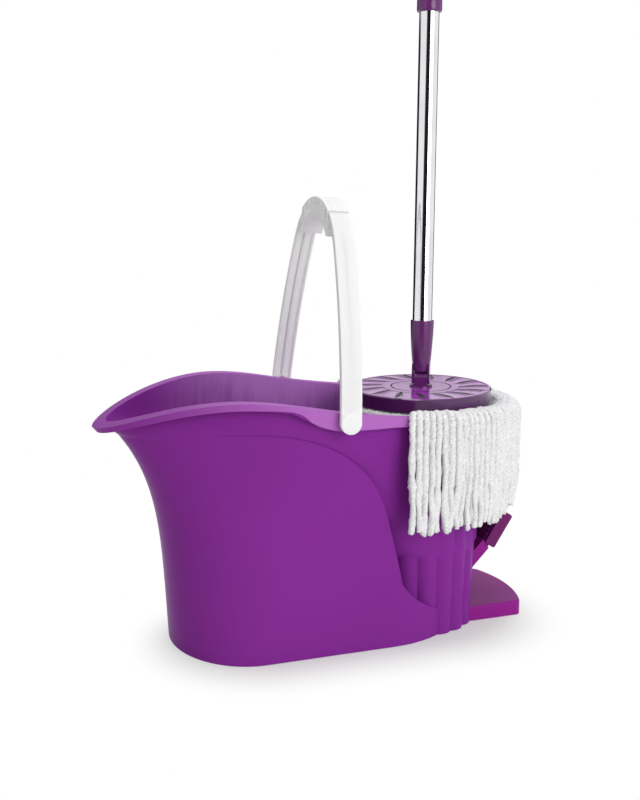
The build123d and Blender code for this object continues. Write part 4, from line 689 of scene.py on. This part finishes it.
# White paper floor: it keeps the soft shadow close round the foot and goes over to plain white away from it.
# The shadow's patch is a strip along X with round ends.
paperFloor = {"matt": "#EFF2EB", "size": 3.4, "height": -0.0005, "middle": (0.035, -0.025), "halfStrip": 0.10,
              "shadow": 0.065, "white": 0.16, "least": 0.25}
paper, tree = newMaterial("paper-sprayed-white")
place = addNode(tree, "TexCoord").outputs["Object"]
axes = addNode(tree, "SeparateXYZ", {}, {0: place})
along = addNode(tree, "Math", {"operation": "SUBTRACT", 1: paperFloor["middle"][0]}, {0: axes.outputs["X"]})
along = addNode(tree, "Math", {"operation": "ABSOLUTE"}, {0: along})
along = addNode(tree, "Math", {"operation": "SUBTRACT", 1: paperFloor["halfStrip"]}, {0: along})
along = addNode(tree, "Math", {"operation": "MAXIMUM", 1: 0.0}, {0: along})
aside = addNode(tree, "Math", {"operation": "SUBTRACT", 1: paperFloor["middle"][1]}, {0: axes.outputs["Y"]})
past = addNode(tree, "CombineXYZ", {}, {"X": along, "Y": aside})
away = addNode(tree, "VectorMath", {"operation": "LENGTH"}, {0: past}).outputs["Value"]
away = addNode(tree, "MapRange",
               {**soft, "From Min": paperFloor["shadow"], "From Max": paperFloor["white"],
                "To Min": paperFloor["least"]}, {"Value": away})
ray = addNode(tree, "LightPath").outputs
seen = addNode(tree, "Math", {"operation": "MAXIMUM"}, {0: ray["Is Camera Ray"], 1: ray["Is Glossy Ray"]})
seen = addNode(tree, "Math", {"operation": "MAXIMUM"}, {0: seen, 1: ray["Is Transmission Ray"]})
plain = addNode(tree, "Math", {"operation": "MULTIPLY"}, {0: away, 1: seen})
matt = addNode(tree, "BsdfDiffuse", {"Color": colour(paperFloor["matt"])})
white = addNode(tree, "Emission", {"Color": colour("#FFFFFF"), "Strength": 1.0})
both = addNode(tree, "MixShader", {}, {0: plain, 1: matt, 2: white})
addNode(tree, "OutputMaterial", {}, {"Surface": both})

half = paperFloor["size"] / 2
mesh = bpy.data.meshes.new("floor")
mesh.from_pydata([(-half, -half, 0), (half, -half, 0), (half, half, 0), (-half, half, 0)], [], [(0, 1, 2, 3)])
mesh.materials.append(paper)
plane = bpy.data.objects.new("floor", mesh)
plane.location = (0.0, 0.0, paperFloor["height"])
bpy.context.scene.collection.objects.link(plane)


# A white room for the eye and for mirrors, with dark gaps between its light panels near eye level; softer
# light elsewhere. A stop is a share of the way round and a colour; tilt is the sine of an angle, and in
# front, where Y is below nought, the gaps reach up and down twice as far.
whiteRoom = {"stops": ((0.0, "#FFFFFF"), (0.098, "#FFFFFF"), (0.126, "#1E1E22"), (0.240, "#1E1E22"),
                       (0.252, "#FFFFFF"), (0.555, "#FFFFFF"), (0.575, "#1E1E22"), (0.700, "#1E1E22"),
                       (0.880, "#1E1E22"), (0.900, "#FFFFFF")),
             "tiltDark": 0.14, "tiltWhite": 0.20, "front": {"From Min": -0.1, "From Max": 0.1, "To Min": 0.5},
             "lightLeft": 0.42, "lightRight": 0.66}
room = bpy.data.worlds.new("white room")
room.use_nodes = True
tree = room.node_tree
tree.nodes.clear()
toward = addNode(tree, "TexCoord").outputs["Generated"]
around = addNode(tree, "TexGradient", {"gradient_type": "RADIAL"}, {"Vector": toward}).outputs["Fac"]
panels = addNode(tree, "ValToRGB", {}, {"Fac": around})
stops = panels.color_ramp.elements
while len(stops) < len(whiteRoom["stops"]):
    stops.new(0.5)
for stop, (where, code) in zip(stops, whiteRoom["stops"]):
    stop.position = where
    stop.color = colour(code)
aim = addNode(tree, "SeparateXYZ", {}, {0: toward}).outputs
tilt = addNode(tree, "Math", {"operation": "ABSOLUTE"}, {0: aim["Z"]})
share = addNode(tree, "MapRange", {**soft, **whiteRoom["front"]}, {"Value": aim["Y"]})
tilt = addNode(tree, "Math", {"operation": "MULTIPLY"}, {0: tilt, 1: share})
level = addNode(tree, "MapRange",
                {**soft, "From Min": whiteRoom["tiltDark"], "From Max": whiteRoom["tiltWhite"],
                 "To Min": 1.0, "To Max": 0.0}, {"Value": tilt})
ray = addNode(tree, "LightPath").outputs
gaps = addNode(tree, "Math", {"operation": "MULTIPLY"}, {0: ray["Is Glossy Ray"], 1: level})
mirror = addNode(tree, "Mix", {**mix, 6: colour("#FFFFFF")}, {0: gaps, 7: panels}).outputs[2]
seen = addNode(tree, "Math", {"operation": "MAXIMUM"}, {0: ray["Is Camera Ray"], 1: ray["Is Glossy Ray"]})
seen = addNode(tree, "Math", {"operation": "MAXIMUM"}, {0: seen, 1: ray["Is Transmission Ray"]})
glow = addNode(tree, "MapRange",
               {**soft, "From Min": -1.0, "From Max": 1.0, "To Min": whiteRoom["lightLeft"],
                "To Max": whiteRoom["lightRight"]}, {"Value": aim["X"]})
dim = addNode(tree, "Background", {"Color": colour("#FFFFFF")}, {"Strength": glow})
white = addNode(tree, "Background", {"Strength": 1.0}, {"Color": mirror})
both = addNode(tree, "MixShader", {}, {0: seen, 1: dim, 2: white})
addNode(tree, "OutputWorld", {}, {"Surface": both})
bpy.context.scene.world = room


# Two soft panels, one in front and to the right, one overhead; sizes in metres, power in watts.
lamps = ({"name": "keyPanel", "place": (0.65, -2.1, 0.9), "size": 1.4, "power": 24.0, "tint": "#FFFFFF"},
         {"name": "topPanel", "place": (-0.1, 0.2, 2.3), "size": 1.2, "power": 17.0, "tint": "#FFFFFF"})
lampAim = np.array((0.0, 0.0, 0.3))
for panel in lamps:
    data = bpy.data.lights.new(panel["name"], "AREA")
    data.shape = "SQUARE"
    data.size = panel["size"]
    data.energy = panel["power"]
    data.color = colour(panel["tint"])[:3]
    lamp = bpy.data.objects.new(panel["name"], data)
    lamp.location = panel["place"]
    way = lampAim - np.array(panel["place"])
    tip = np.arctan2(np.hypot(way[0], way[1]), -way[2])
    lamp.rotation_euler = (tip, 0.0, np.arctan2(way[1], way[0]) - np.pi / 2)
    bpy.context.scene.collection.objects.link(lamp)
print("stage lit")
